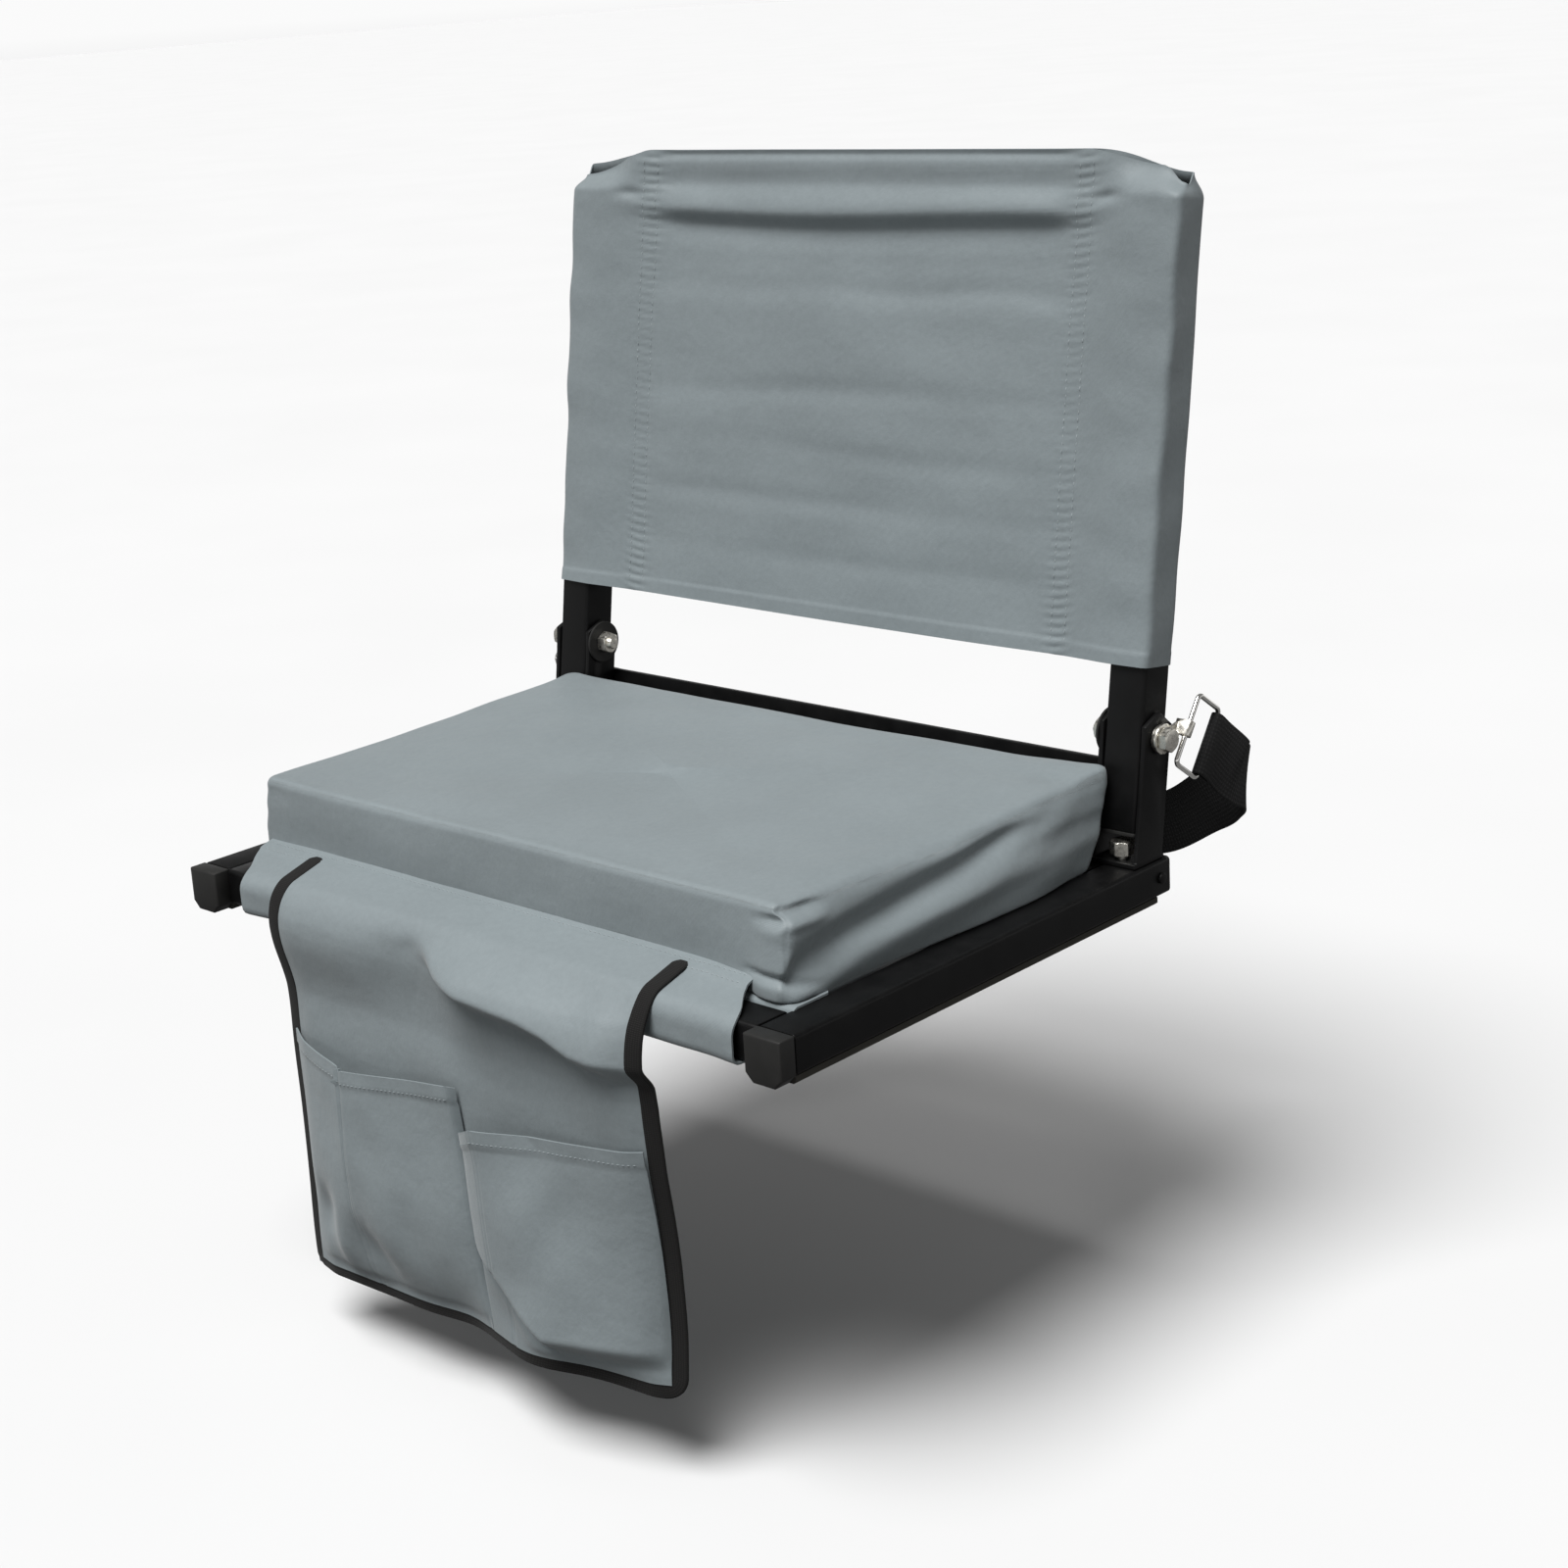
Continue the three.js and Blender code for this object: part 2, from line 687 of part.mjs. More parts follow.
function pivotDisc(side) {
  const from = side * (discStart - pivotDiscThickness);
  const bore = pivotBoltRadius + holeClearance;
  return discAlongX(pivotDiscRadius, bore, pivotY, pivotHeight, from, side * discStart);
}

// Rings and hooks: a ring hangs at an angle about its pivot, rearward and down
const ringLeans = {
  right: { centre: THREE.MathUtils.degToRad(-9.5), reach: THREE.MathUtils.degToRad(-35.2) },
  left: { centre: THREE.MathUtils.degToRad(-49.5), reach: THREE.MathUtils.degToRad(-75.2) },
};

function ringFrame(name, side) {
  const lean = ringLeans[name];
  const away = new THREE.Vector3(0, Math.cos(lean.centre), Math.sin(lean.centre));
  const centre = new THREE.Vector3(side * ringPlane, pivotY, pivotHeight).addScaledVector(away, ringStandoff);
  const reach = new THREE.Vector3(0, Math.cos(lean.reach), Math.sin(lean.reach));
  const along = new THREE.Vector3(0, -reach.z, reach.y);
  return { centre, reach, along };
}

const ringArcSteps = 3;
const wireSides = 8;

function strapRing(name, side) {
  const { centre, reach, along } = ringFrame(name, side);
  const rings = [];
  for (let corner = 0; corner < 4; corner += 1) {
    const signAlong = corner < 2 ? 1 : -1;
    const signReach = corner === 1 || corner === 2 ? -1 : 1;
    for (let step = 0; step <= ringArcSteps; step += 1) {
      const angle = ((corner + step / ringArcSteps) * Math.PI) / 2;
      const bend = ringCorner - ringWireRadius;
      const reachPlace = signReach * (ringReach / 2 - ringCorner) + bend * Math.cos(angle);
      const alongPlace = signAlong * (ringLength / 2 - ringCorner) + bend * Math.sin(angle);
      const out = reach.clone().multiplyScalar(Math.cos(angle)).addScaledVector(along, Math.sin(angle));
      const middle = centre.clone().addScaledVector(reach, reachPlace).addScaledVector(along, alongPlace);
      rings.push({ middle, out });
    }
  }
  return loft(rings.map(wireRing), true);
}

function wireRing({ middle, out }) {
  const ring = [];
  for (let step = 0; step < wireSides; step += 1) {
    const angle = (2 * Math.PI * step) / wireSides;
    const point = middle.clone().addScaledVector(out, ringWireRadius * Math.cos(angle));
    ring.push(point.addScaledVector(axisX, ringWireRadius * Math.sin(angle)));
  }
  return ring;
}

function strapHook(name, side) {
  const { centre, reach, along } = ringFrame(name, side);
  const nearLeg = centre.clone().addScaledVector(reach, ringWireRadius - ringReach / 2);
  const eye = rodAlongX(hookEyeRadius, pivotY, pivotHeight, side * hookStart, side * (hookStart + hookThickness));
  const toLeg = new THREE.Vector3(0, nearLeg.y - pivotY, nearLeg.z - pivotHeight);
  const armLength = toLeg.length();
  const armX = side * (hookStart + hookThickness / 2);
  const arm = new THREE.BoxGeometry(hookThickness, armLength, hookArmWidth);
  arm.rotateX(Math.atan2(toLeg.z, toLeg.y));
  arm.translate(armX, pivotY + toLeg.y / 2, pivotHeight + toLeg.z / 2);
  const curlRadius = ringWireRadius + holeClearance + hookCurlWall;
  const curl = new THREE.CylinderGeometry(curlRadius, curlRadius, hookCurlLength, boltSides);
  const bore = new THREE.CylinderGeometry(
    ringWireRadius + holeClearance,
    ringWireRadius + holeClearance,
    hookCurlLength + 2 * cutOverrun,
    boltSides,
  );
  const turn = new THREE.Quaternion().setFromUnitVectors(axisY, along);
  const seat = new THREE.Matrix4().compose(nearLeg, turn, new THREE.Vector3(1, 1, 1));
  const neckStart = side * hookStart;
  const neckLength = Math.abs(nearLeg.x - neckStart);
  const neck = new THREE.BoxGeometry(neckLength, hookCurlWall, hookCurlLength);
  const neckPlace = nearLeg.clone().addScaledVector(reach, -curlRadius + hookCurlWall / 2);
  neck.rotateX(Math.atan2(reach.z, reach.y));
  neck.translate((nearLeg.x + neckStart) / 2, neckPlace.y, neckPlace.z);
  const blank = join([eye, arm, neck, curl.applyMatrix4(seat)]);
  const eyeHole = throughX(pivotBoltRadius + holeClearance, pivotY, pivotHeight, neckStart, side * headStart);
  return cut(blank, [bore.applyMatrix4(seat), eyeHole]);
}

// Strap: a ribbon looped round both rings, passing behind the seat on its edge
const strapSteps = 100;
const strapWrapSteps = 5;
const strapRightShares = [
  { ring: 1, reach: 0.78, height: 0.66 },
  { ring: 0.985, reach: 0.94, height: 0.54 },
  { ring: 0.95, reach: 0.985, height: 0.485 },
  { ring: 0.9, reach: 0.94, height: 0.42 },
  { ring: 0.84, reach: 0.72, height: 0.31 },
  { ring: 0.7, reach: 0.62, height: 0.25 },
  { ring: 0.4, reach: 0.6, height: 0.22 },
];
const strapLeftShares = [
  { ring: 0.4, reach: 0.6, height: 0.22 },
  { ring: 0.7, reach: 0.6, height: 0.23 },
  { ring: 0.86, reach: 0.64, height: 0.26 },
  { ring: 0.94, reach: 0.7, height: 0.31 },
  { ring: 0.985, reach: 0.66, height: 0.36 },
  { ring: 1, reach: 0.52, height: 0.45 },
];

function strapEnd(name, side) {
  const { centre, reach, along } = ringFrame(name, side);
  const wire = centre.clone().addScaledVector(reach, ringReach / 2 - ringWireRadius);
  const outward = axisX.clone().multiplyScalar(side);
  const offset = ringWireRadius + fitGap + strapThickness / 2;
  const apart = strapThickness + fitGap;
  const places = [
    wire.clone().addScaledVector(reach, strapTail).addScaledVector(outward, -apart),
    wire.clone().addScaledVector(reach, strapTail / 2).addScaledVector(outward, -apart),
  ];
  for (let step = 0; step <= strapWrapSteps; step += 1) {
    const angle = (Math.PI * step) / strapWrapSteps;
    const place = wire.clone().addScaledVector(outward, -offset * Math.cos(angle));
    places.push(place.addScaledVector(reach, -offset * Math.sin(angle)));
  }
  places.push(wire.clone().addScaledVector(reach, strapTail / 2).addScaledVector(outward, apart / 2));
  return places.map((place) => ({ place, edge: along }));
}

function strapStops() {
  const upright = axisZ;
  const along = ({ ring, reach, height }, side) => ({
    place: new THREE.Vector3(side * ring * ringPlane, railRear + reach * strapReach, height * pivotHeight),
    edge: upright,
  });
  return [
    ...strapEnd('right', 1),
    ...strapRightShares.map((share) => along(share, 1)),
    ...strapLeftShares.map((share) => along(share, -1)),
    ...strapEnd('left', -1).reverse(),
  ];
}

function carryStrap() {
  const stops = strapStops();
  const route = new THREE.CatmullRomCurve3(stops.map(({ place }) => place), false, 'centripetal');
  const rings = [];
  for (let step = 0; step <= strapSteps; step += 1) {
    const reach = (step / strapSteps) * (stops.length - 1);
    rings.push(strapSection(route, stops, reach));
  }
  return loft(rings);
}

function strapSection(route, stops, reach) {
  const before = Math.min(Math.floor(reach), stops.length - 2);
  const edge = stops[before].edge.clone().lerp(stops[before + 1].edge, reach - before);
  const share = reach / (stops.length - 1);
  const middle = route.getPoint(share);
  const heading = route.getTangent(share);
  edge.addScaledVector(heading, -edge.dot(heading)).normalize();
  const face = new THREE.Vector3().crossVectors(heading, edge);
  const lift = Math.max(0, strapRest + (strapWidth / 2) * Math.abs(edge.z) - middle.z);
  middle.addScaledVector(axisZ, lift);
  return [[1, 1], [-1, 1], [-1, -1], [1, -1]].map(([across, through]) => {
    const point = middle.clone().addScaledVector(edge, (across * strapWidth) / 2);
    return point.addScaledVector(face, (through * strapThickness) / 2);
  });
}

// Yoke: the pouch's upper end, sewn over the sling's front loop
function yokeSection(thickness) {
  const under = slingFront - fitGap;
  const over = under - thickness;
  const edge = tubeCorner / 2;
  const flapSlope = (slingHemHeight - slingTop) / (hemRear - slingFront - edge);
  const lowTop = slingTop + fitGap;
  const hemPlace = hemRear - yokeHemInset;
  const hemHeight = lowTop + (hemPlace - slingFront - edge) * flapSlope;
  return outline([
    [under, yokeFoot],
    [under, lowTop - edge],
    [slingFront + edge, lowTop + fitGap],
    [hemPlace, hemHeight + fitGap],
    [hemPlace, hemHeight + thickness + fitGap],
    [slingFront + edge, lowTop + thickness + fitGap],
    [over, lowTop - edge],
    [over, yokeFoot],
  ]);
}

function pouchYoke() {
  const inner = bindingWidth + fitGap;
  return alongX(yokeSection(yokeThickness), inner - pouchLeft, pouchRight - inner);
}

function yokeBinding(side) {
  const outer = side < 0 ? -pouchLeft : pouchRight;
  return alongX(yokeSection(bindingThickness), outer, outer - side * bindingWidth);
}

// Pouch
function pouchFoot(x) {
  const share = (x + pouchLeft) / (pouchLeft + pouchRight);
  return pouchHinge - THREE.MathUtils.lerp(pouchDropLeft, pouchDropRight, share);
}

function bindingOutline(inset, top) {
  const low = inset / Math.cos(Math.atan2(pouchDropLeft - pouchDropRight, pouchLeft + pouchRight));
  const left = inset - pouchLeft;
  const right = pouchRight - inset;
  const corner = inset > 0 ? fitGap : pouchCorner;
  const shape = new THREE.Shape();
  shape.moveTo(left, pouchFoot(left) + low);
  shape.lineTo(right - corner, pouchFoot(right - corner) + low);
  shape.quadraticCurveTo(right, pouchFoot(right) + low, right, pouchFoot(right) + low + corner);
  shape.lineTo(right, top);
  shape.lineTo(left, top);
  shape.closePath();
  return shape;
}

function pouchBinding() {
  const to = pouchFace + canvasThickness;
  const from = to - bindingThickness;
  const whole = alongY(bindingOutline(0, pouchTop), from, to);
  const middle = alongY(bindingOutline(bindingWidth, pouchTop + cutOverrun), from - cutOverrun, to + cutOverrun);
  return cut(whole, [middle]);
}

// The flap's one big fold runs down from the upper left to the right and dies out above the pockets.
function flapFold(x, drop) {
  const share = (x + pouchLeft) / (pouchLeft + pouchRight);
  const centre = flapFoldCentreDrop + (share - 1 / 2) * flapFoldRise;
  const away = (drop - centre) / flapFoldHalfWidth;
  const ends = Math.sin(Math.PI * THREE.MathUtils.clamp(share, 0, 1));
  const above = THREE.MathUtils.smoothstep(drop, 0, flapFoldHalfWidth);
  const below = 1 - THREE.MathUtils.smoothstep(drop, leftPocketTop - 2 * pocketTilt, leftPocketTop - pocketTilt);
  return flapFoldDepth * ends * above * below * Math.exp(-away * away);
}

const panelColumns = 18;
const panelRows = 24;

function pouchPanel() {
  const edge = bindingWidth + fitGap;
  const left = edge - pouchLeft;
  const right = pouchRight - edge;
  return sheet(panelColumns, panelRows, (u, v, side) => {
    const x = THREE.MathUtils.lerp(left, right, u);
    const foot = pouchFoot(x) + edge + fitGap;
    const z = THREE.MathUtils.lerp(pouchTop, foot, v);
    const fold = flapFold(x, pouchTop - z);
    return new THREE.Vector3(x, pouchFace + side * canvasThickness - fold, z);
  });
}

// A pocket is sewn down at its sides and foot and stands open at its mouth.
const pocketColumns = 12;
const pocketRows = 8;

function pocket(left, right, topDrop, depth) {
  return sheet(pocketColumns, pocketRows, (u, v, side) => {
    const x = THREE.MathUtils.lerp(left, right, u);
    const foot = pouchFoot(x) + bindingWidth + pocketGap / 2;
    const top = pouchHinge - topDrop + pocketTilt * u;
    const z = THREE.MathUtils.lerp(top, foot, v);
    const open = Math.sqrt(Math.sin(Math.PI * u)) * (1 - v * v);
    const under = pouchFace - fitGap - depth * open;
    return new THREE.Vector3(x, under - (1 - side) * canvasThickness, z);
  });
}

// Uprights
function uprightSpan(side) {
  return [Math.min(side * uprightInner, side * uprightOuter), Math.max(side * uprightInner, side * uprightOuter)];
}

function stopRivetHeights() {
  const middle = -stopBarDrop - stopBarHeight / 2;
  return [middle + stopRivetSpacing / 2, middle - stopRivetSpacing / 2];
}

function stopRivetHoles(side) {
  const x = (side * (uprightInner + uprightOuter)) / 2;
  const half = tubeWidth / 2;
  const to = half + fitGap + stopBarThickness + cutOverrun;
  return stopRivetHeights().map((z) => {
    return rodAlongY(stopRivetRadius + holeClearance, x, z, half - tubeWall - cutOverrun, to, boltSides);
  });
}

function upright(side) {
  const half = tubeWidth / 2;
  const [low, high] = uprightSpan(side);
  const tube = extruded(tubeSection(low, -half, high, half), plugFlange + fitGap - uprightFoot, uprightReach);
  const pivotHole = throughX(pivotBoltRadius + holeClearance, 0, 0, low, high);
  return cut(tube, [pivotHole, ...stopRivetHoles(side)]);
}

function uprightPlug(side, isFoot) {
  const half = tubeWidth / 2;
  const [low, high] = uprightSpan(side);
  const inset = tubeWall + fitGap;
  const core = roundedBox(low + inset, inset - half, high - inset, half - inset, tubeCorner - tubeWall);
  const face = roundedBox(low, -half, high, half, tubeCorner);
  const flangeLow = isFoot ? -uprightFoot : uprightReach + fitGap;
  const coreLow = isFoot ? plugFlange / 2 - uprightFoot : uprightReach - spigotLength + fitGap;
  const coreHigh = isFoot ? spigotLength - uprightFoot : uprightReach + plugFlange / 2 + fitGap;
  return join([extruded(face, flangeLow, flangeLow + plugFlange), extruded(core, coreLow, coreHigh)]);
}

function pivotSpacer(side) {
  const inset = tubeWall + fitGap;
  const from = side * (uprightInner + inset);
  const to = side * (uprightOuter - inset);
  return discAlongX(spacerRadius, pivotBoltRadius + holeClearance, 0, 0, from, to, boltSides);
}

// Stop bar
function stopBar() {
  const front = tubeWidth / 2 + fitGap;
  const half = uprightOuter - stopBarEndInset;
  const section = outline([
    [front, -stopBarDrop - stopBarHeight],
    [front + stopBarThickness, -stopBarDrop - stopBarHeight],
    [front + stopBarThickness, -stopBarDrop],
    [front, -stopBarDrop],
  ]);
  return cut(alongX(section, -half, half), [...stopRivetHoles(-1), ...stopRivetHoles(1)]);
}

function stopRivet(side, z) {
  const x = (side * (uprightInner + uprightOuter)) / 2;
  const barRear = tubeWidth / 2 + fitGap + stopBarThickness;
  const headFront = barRear + fitGap;
  const from = tubeWidth / 2 - tubeWall - stopRivetGrip;
  const shank = rodAlongY(stopRivetRadius, x, z, from, headFront + stopRivetHeadHeight / 2);
  return join([shank, rodAlongY(stopRivetHeadRadius, x, z, headFront, headFront + stopRivetHeadHeight)]);
}

// Back canvas: a sleeve round each upright, with one layer between the two stitched columns
const panelSteps = 12;
const backRows = 14;

function backSection() {
  const reach = fitGap + canvasThickness;
  const outer = uprightOuter + reach;
  const face = tubeWidth / 2 + reach;
  const inner = tubeWidth / 2 + fitGap;
  const stitch = outer - stitchInset;
  const panelFront = -panelSetback - canvasThickness / 2;
  const panelRear = panelFront + canvasThickness;
  const points = [];
  for (let step = 0; step <= panelSteps; step += 1) {
    points.push([THREE.MathUtils.lerp(-stitch, stitch, step / panelSteps), panelFront]);
  }
  points.push([uprightInner, -face]);
  points.push([outer - canvasCorner, -face]);
  points.push([outer, canvasCorner - face]);
  points.push([outer, face - canvasCorner]);
  points.push([outer - canvasCorner, face]);
  points.push([uprightInner, face]);
  for (let step = 0; step <= panelSteps; step += 1) {
    points.push([THREE.MathUtils.lerp(stitch, -stitch, step / panelSteps), panelRear]);
  }
  points.push([-uprightInner, face]);
  points.push([canvasCorner - outer, face]);
  points.push([-outer, face - canvasCorner]);
  points.push([-outer, canvasCorner - face]);
  points.push([canvasCorner - outer, -face]);
  points.push([-uprightInner, -face]);
  const shape = outline(points);
  for (const side of [-1, 1]) {
    const tip = side * (stitch + sleeveTipInset);
    const wall = side * (uprightInner + fitGap);
    const far = side * (uprightOuter + fitGap);
    shape.holes.push(new THREE.Path([
      new THREE.Vector2(far, -inner),
      new THREE.Vector2(far, inner),
      new THREE.Vector2(wall, inner),
      new THREE.Vector2(tip, panelRear),
      new THREE.Vector2(tip, panelRear - canvasThickness / 2),
      new THREE.Vector2(wall, -inner),
    ]));
  }
  return shape;
}

function backFolds(x, rise) {
  const stitch = uprightOuter - stitchInset;
  const across = 1 - THREE.MathUtils.smoothstep(Math.abs(x), stitch / 2, uprightInner);
  const drop = backHeight - rise;
  const away = (drop - backTopFoldDrop) / backFoldHalfHeight;
  const sag = backSag * THREE.MathUtils.smoothstep(rise, backHeight / 2, backHeight);
  return across * (sag + backFoldDepth * Math.exp(-away * away));
}

function backCanvas() {
  const cloth = extruded(backSection(), 0, backHeight, backRows);
  const place = cloth.getAttribute('position');
  const stitch = uprightOuter - stitchInset;
  for (let index = 0; index < place.count; index += 1) {
    const x = place.getX(index);
    const depth = place.getY(index);
    const share = place.getZ(index) / backHeight;
    const rise = backHeight * Math.sin((share * Math.PI) / 2);
    const droop = cornerDroop * THREE.MathUtils.smoothstep(Math.abs(x), stitch, uprightInner);
    const frontShare = depth < 0 ? 1 : 1 / 2;
    const height = rise - droop * frontShare * (rise / backHeight) ** 3;
    place.setXYZ(index, x, depth + backFolds(x, rise), backFoot + height);
  }
  return cloth;
}

// Assembly
const seat = new THREE.Group();
const backrest = new THREE.Group();
backrest.position.set(0, pivotY, pivotHeight);
backrest.rotation.x = -recline;

for (const [name, side] of sides) {
  seat.add(piece(`${name}_rail`, rail(side), powderBlack));
  seat.add(piece(`${name}_rail_front_cap`, frontCap(side), plasticBlack));
  seat.add(piece(`${name}_rail_rear_plug`, rearPlug(side), plasticBlack));
  seat.add(piece(`${name}_plug_rivet`, plugRivet(side), powderBlack));
  seat.add(piece(`${name}_grip_strip`, gripStrip(side), gripRubber));
  seat.add(piece(`${name}_hinge_bracket`, hingeBracket(side), powderBlack));
  seat.add(piece(`${name}_bracket_bolt`, plateBolt(side), zincSteel));
  seat.add(piece(`${name}_bracket_nut`, plateNut(side), zincSteel));
  seat.add(piece(`${name}_pivot_bolt`, pivotBolt(side), zincSteel));
  seat.add(piece(`${name}_pivot_nut`, pivotNut(side), zincSteel));
  seat.add(piece(`${name}_pivot_washer`, pivotWasher(side), zincSteel));
  seat.add(piece(`${name}_pivot_disc`, pivotDisc(side), plasticBlack));
  seat.add(piece(`${name}_strap_hook`, strapHook(name, side), zincSteel));
  seat.add(piece(`${name}_strap_ring`, strapRing(name, side), brightWire));
  seat.add(piece(`${name}_yoke_binding`, yokeBinding(side), blackTape));
  backrest.add(piece(`${name}_upright`, upright(side), powderBlack));
  backrest.add(piece(`${name}_foot_plug`, uprightPlug(side, true), plasticBlack));
  backrest.add(piece(`${name}_top_plug`, uprightPlug(side, false), plasticBlack));
  backrest.add(piece(`${name}_pivot_spacer`, pivotSpacer(side), zincSteel));
  stopRivetHeights().forEach((z, index) => {
    const level = index === 0 ? 'upper' : 'lower';
    backrest.add(piece(`${name}_stop_rivet_${level}`, stopRivet(side, z), powderBlack));
  });
}
seat.add(piece('front_bar', crossBar(frontBarFront), powderBlack));
seat.add(piece('rear_bar', crossBar(rearBarFront), powderBlack));
seat.add(piece('seat_sling', sling(), greyCanvas));
seat.add(piece('cushion_cover', cushionCover(), greyCanvas));
seat.add(piece('cushion_foam', cushionBody(coverThickness + fitGap), seatFoam));
seat.add(piece('carry_strap', carryStrap(), blackWebbing));
seat.add(piece('pouch_yoke', pouchYoke(), greyCanvas));
seat.add(piece('pouch_panel', pouchPanel(), greyCanvas));
seat.add(piece('pouch_binding', pouchBinding(), blackTape));
const pocketInset = bindingWidth + fitGap;
const leftPocket = pocket(pocketInset - pouchLeft, -pocketDivide - pocketGap / 2, leftPocketTop, leftPocketDepth);
const rightPocket = pocket(pocketGap / 2 - pocketDivide, pouchRight - pocketInset, rightPocketTop, rightPocketDepth);
seat.add(piece('left_pocket', leftPocket, greyCanvas));
seat.add(piece('right_pocket', rightPocket, greyCanvas));
backrest.add(piece('stop_bar', stopBar(), powderBlack));
backrest.add(piece('back_canvas', backCanvas(), greyCanvas));
seat.add(backrest);

export default seat;
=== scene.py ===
"""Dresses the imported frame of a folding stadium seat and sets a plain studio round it.

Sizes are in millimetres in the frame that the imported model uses: X to the sitter's left, Y to the
back, Z up, with the origin on the bench plane under the middle of the rails. Left and right in names
are as seen from in front, so left is at negative X. Meshes are written in metres. Each sub-assembly
is a class that holds its sizes, builds its surfaces and dresses them.
"""

import json
import logging
import math
from collections.abc import Callable
from dataclasses import dataclass, field
from enum import Enum

import bmesh
import bpy
import numpy as np
from mathutils import Matrix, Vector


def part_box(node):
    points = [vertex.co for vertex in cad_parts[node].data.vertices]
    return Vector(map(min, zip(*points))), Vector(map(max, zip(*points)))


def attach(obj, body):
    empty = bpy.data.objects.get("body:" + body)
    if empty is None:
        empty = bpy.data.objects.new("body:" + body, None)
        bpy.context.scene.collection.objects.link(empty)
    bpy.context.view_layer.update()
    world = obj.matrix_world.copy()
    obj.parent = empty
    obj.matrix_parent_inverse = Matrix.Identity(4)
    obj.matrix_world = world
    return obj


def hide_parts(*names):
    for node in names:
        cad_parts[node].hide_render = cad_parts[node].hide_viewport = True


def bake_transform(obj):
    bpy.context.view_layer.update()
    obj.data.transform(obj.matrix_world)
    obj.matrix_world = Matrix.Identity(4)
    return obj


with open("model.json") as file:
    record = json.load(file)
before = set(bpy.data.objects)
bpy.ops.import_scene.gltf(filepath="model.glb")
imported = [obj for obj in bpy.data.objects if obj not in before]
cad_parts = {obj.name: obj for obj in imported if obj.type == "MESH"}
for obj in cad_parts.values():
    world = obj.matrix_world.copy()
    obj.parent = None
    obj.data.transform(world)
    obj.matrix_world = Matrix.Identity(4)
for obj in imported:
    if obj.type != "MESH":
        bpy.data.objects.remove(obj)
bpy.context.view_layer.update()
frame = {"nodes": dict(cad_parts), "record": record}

MM = 0.001
PIVOT = (162.6, 100.0)  # the hinges' axis in Y and Z, mm
Array = np.ndarray
Point = tuple[float, float, float]
log = logging.getLogger("stadium_seat")


class Way(Enum):
    """The direction in which a bar, a bolt or a wire circle's axis runs."""

    X = (1, 2, 0)
    Z = (0, 1, 2)


class Body(Enum):
    """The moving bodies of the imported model."""

    SEAT = "seat_frame"
    BACK = "backrest"
    POUCH = "pouch"


# Shape functions


def ease(x: Array, low: float, high: float) -> Array:
    """Smooth step: 0 up to low, 1 from high, 3t² - 2t³ between them."""
    t = np.clip((x - low) / (high - low), 0, 1)
    return t * t * (3 - 2 * t)


def hump(x: Array, centre: float, half: float) -> Array:
    """Bell of height 1: e to the minus square of the distance from centre over half."""
    return np.exp(-(((x - centre) / half) ** 2))


def swell(x: Array, knots: list[float], values: list[float]) -> Array:
    """A profile through the knots that is level at each: half a cosine wave joins two neighbours.

    Args:
        x: Places, mm.
        knots: Rising places of the knots, mm.
        values: Heights at the knots.

    Returns:
        The height at each place.
    """
    marks, heights = np.asarray(knots, float), np.asarray(values, float)
    left = np.clip(np.searchsorted(marks, x, side="right") - 1, 0, len(marks) - 2)
    t = np.clip((x - marks[left]) / (marks[left + 1] - marks[left]), 0, 1)
    return heights[left] + (heights[left + 1] - heights[left]) * (1 - np.cos(np.pi * t)) / 2


def ripple(x: Array, y: Array, seed: int, size: float, terms: int = 9) -> Array:
    """Soft unevenness about ±1: a sum of sine waves of mixed direction and a wavelength near size.

    Args:
        x: First coordinate, mm.
        y: Second coordinate, mm.
        seed: Seed of the waves' directions and phases.
        size: Middle wavelength, mm.
        terms: Number of waves.

    Returns:
        The height at each point.
    """
    draw = np.random.default_rng(seed)
    turn, phase = draw.uniform(0, 2 * np.pi, (2, terms))
    pitch = size * draw.uniform(0.6, 1.6, terms)
    total = np.zeros(np.broadcast(x, y).shape)
    for a, p, w in zip(turn, phase, pitch):
        total += np.sin(2 * np.pi * (x * math.cos(a) + y * math.sin(a)) / w + p)
    return total / math.sqrt(terms)


def filleted(corners: list, radii: list[float], steps: int = 7) -> Array:
    """A polyline whose inner corners are replaced by circular arcs.

    For a corner with unit directions u and w to its neighbours, the arc starts and ends at
    radius · tan(turn / 2) from it and is the spherical blend of its two end radii.

    Args:
        corners: Points of the polyline.
        radii: One radius for each inner corner.
        steps: Steps of each arc.

    Returns:
        The points of the rounded line.
    """
    marks = np.asarray(corners, float)
    out = [marks[:1]]
    share = np.linspace(0, 1, steps + 1)[:, None]
    for before, here, after, radius in zip(marks, marks[1:], marks[2:], radii):
        u, w = before - here, after - here
        u, w = u / np.linalg.norm(u), w / np.linalg.norm(w)
        turn = math.pi - math.acos(float(np.clip(u @ w, -1, 1)))
        if turn < 1e-3 or radius <= 0:
            out.append(here[None])
            continue
        reach = radius * math.tan(turn / 2)
        middle = here + (u + w) / np.linalg.norm(u + w) * radius / math.cos(turn / 2)
        start, end = here + u * reach - middle, here + w * reach - middle
        arc = (np.sin((1 - share) * turn) * start + np.sin(share * turn) * end) / math.sin(turn)
        out.append(middle + arc)
    out.append(marks[-1:])
    return np.concatenate(out)


def lengths(path: Array) -> Array:
    """Distance along a path at each of its points, starting at 0."""
    steps = np.linalg.norm(np.diff(path, axis=0), axis=1)
    return np.concatenate([[0.0], np.cumsum(steps)])


def at_lengths(path: Array, where: Array) -> Array:
    """Points of a path at the distances where, by straight interpolation."""
    along = lengths(path)
    return np.stack([np.interp(where, along, path[:, k]) for k in range(path.shape[1])], -1)


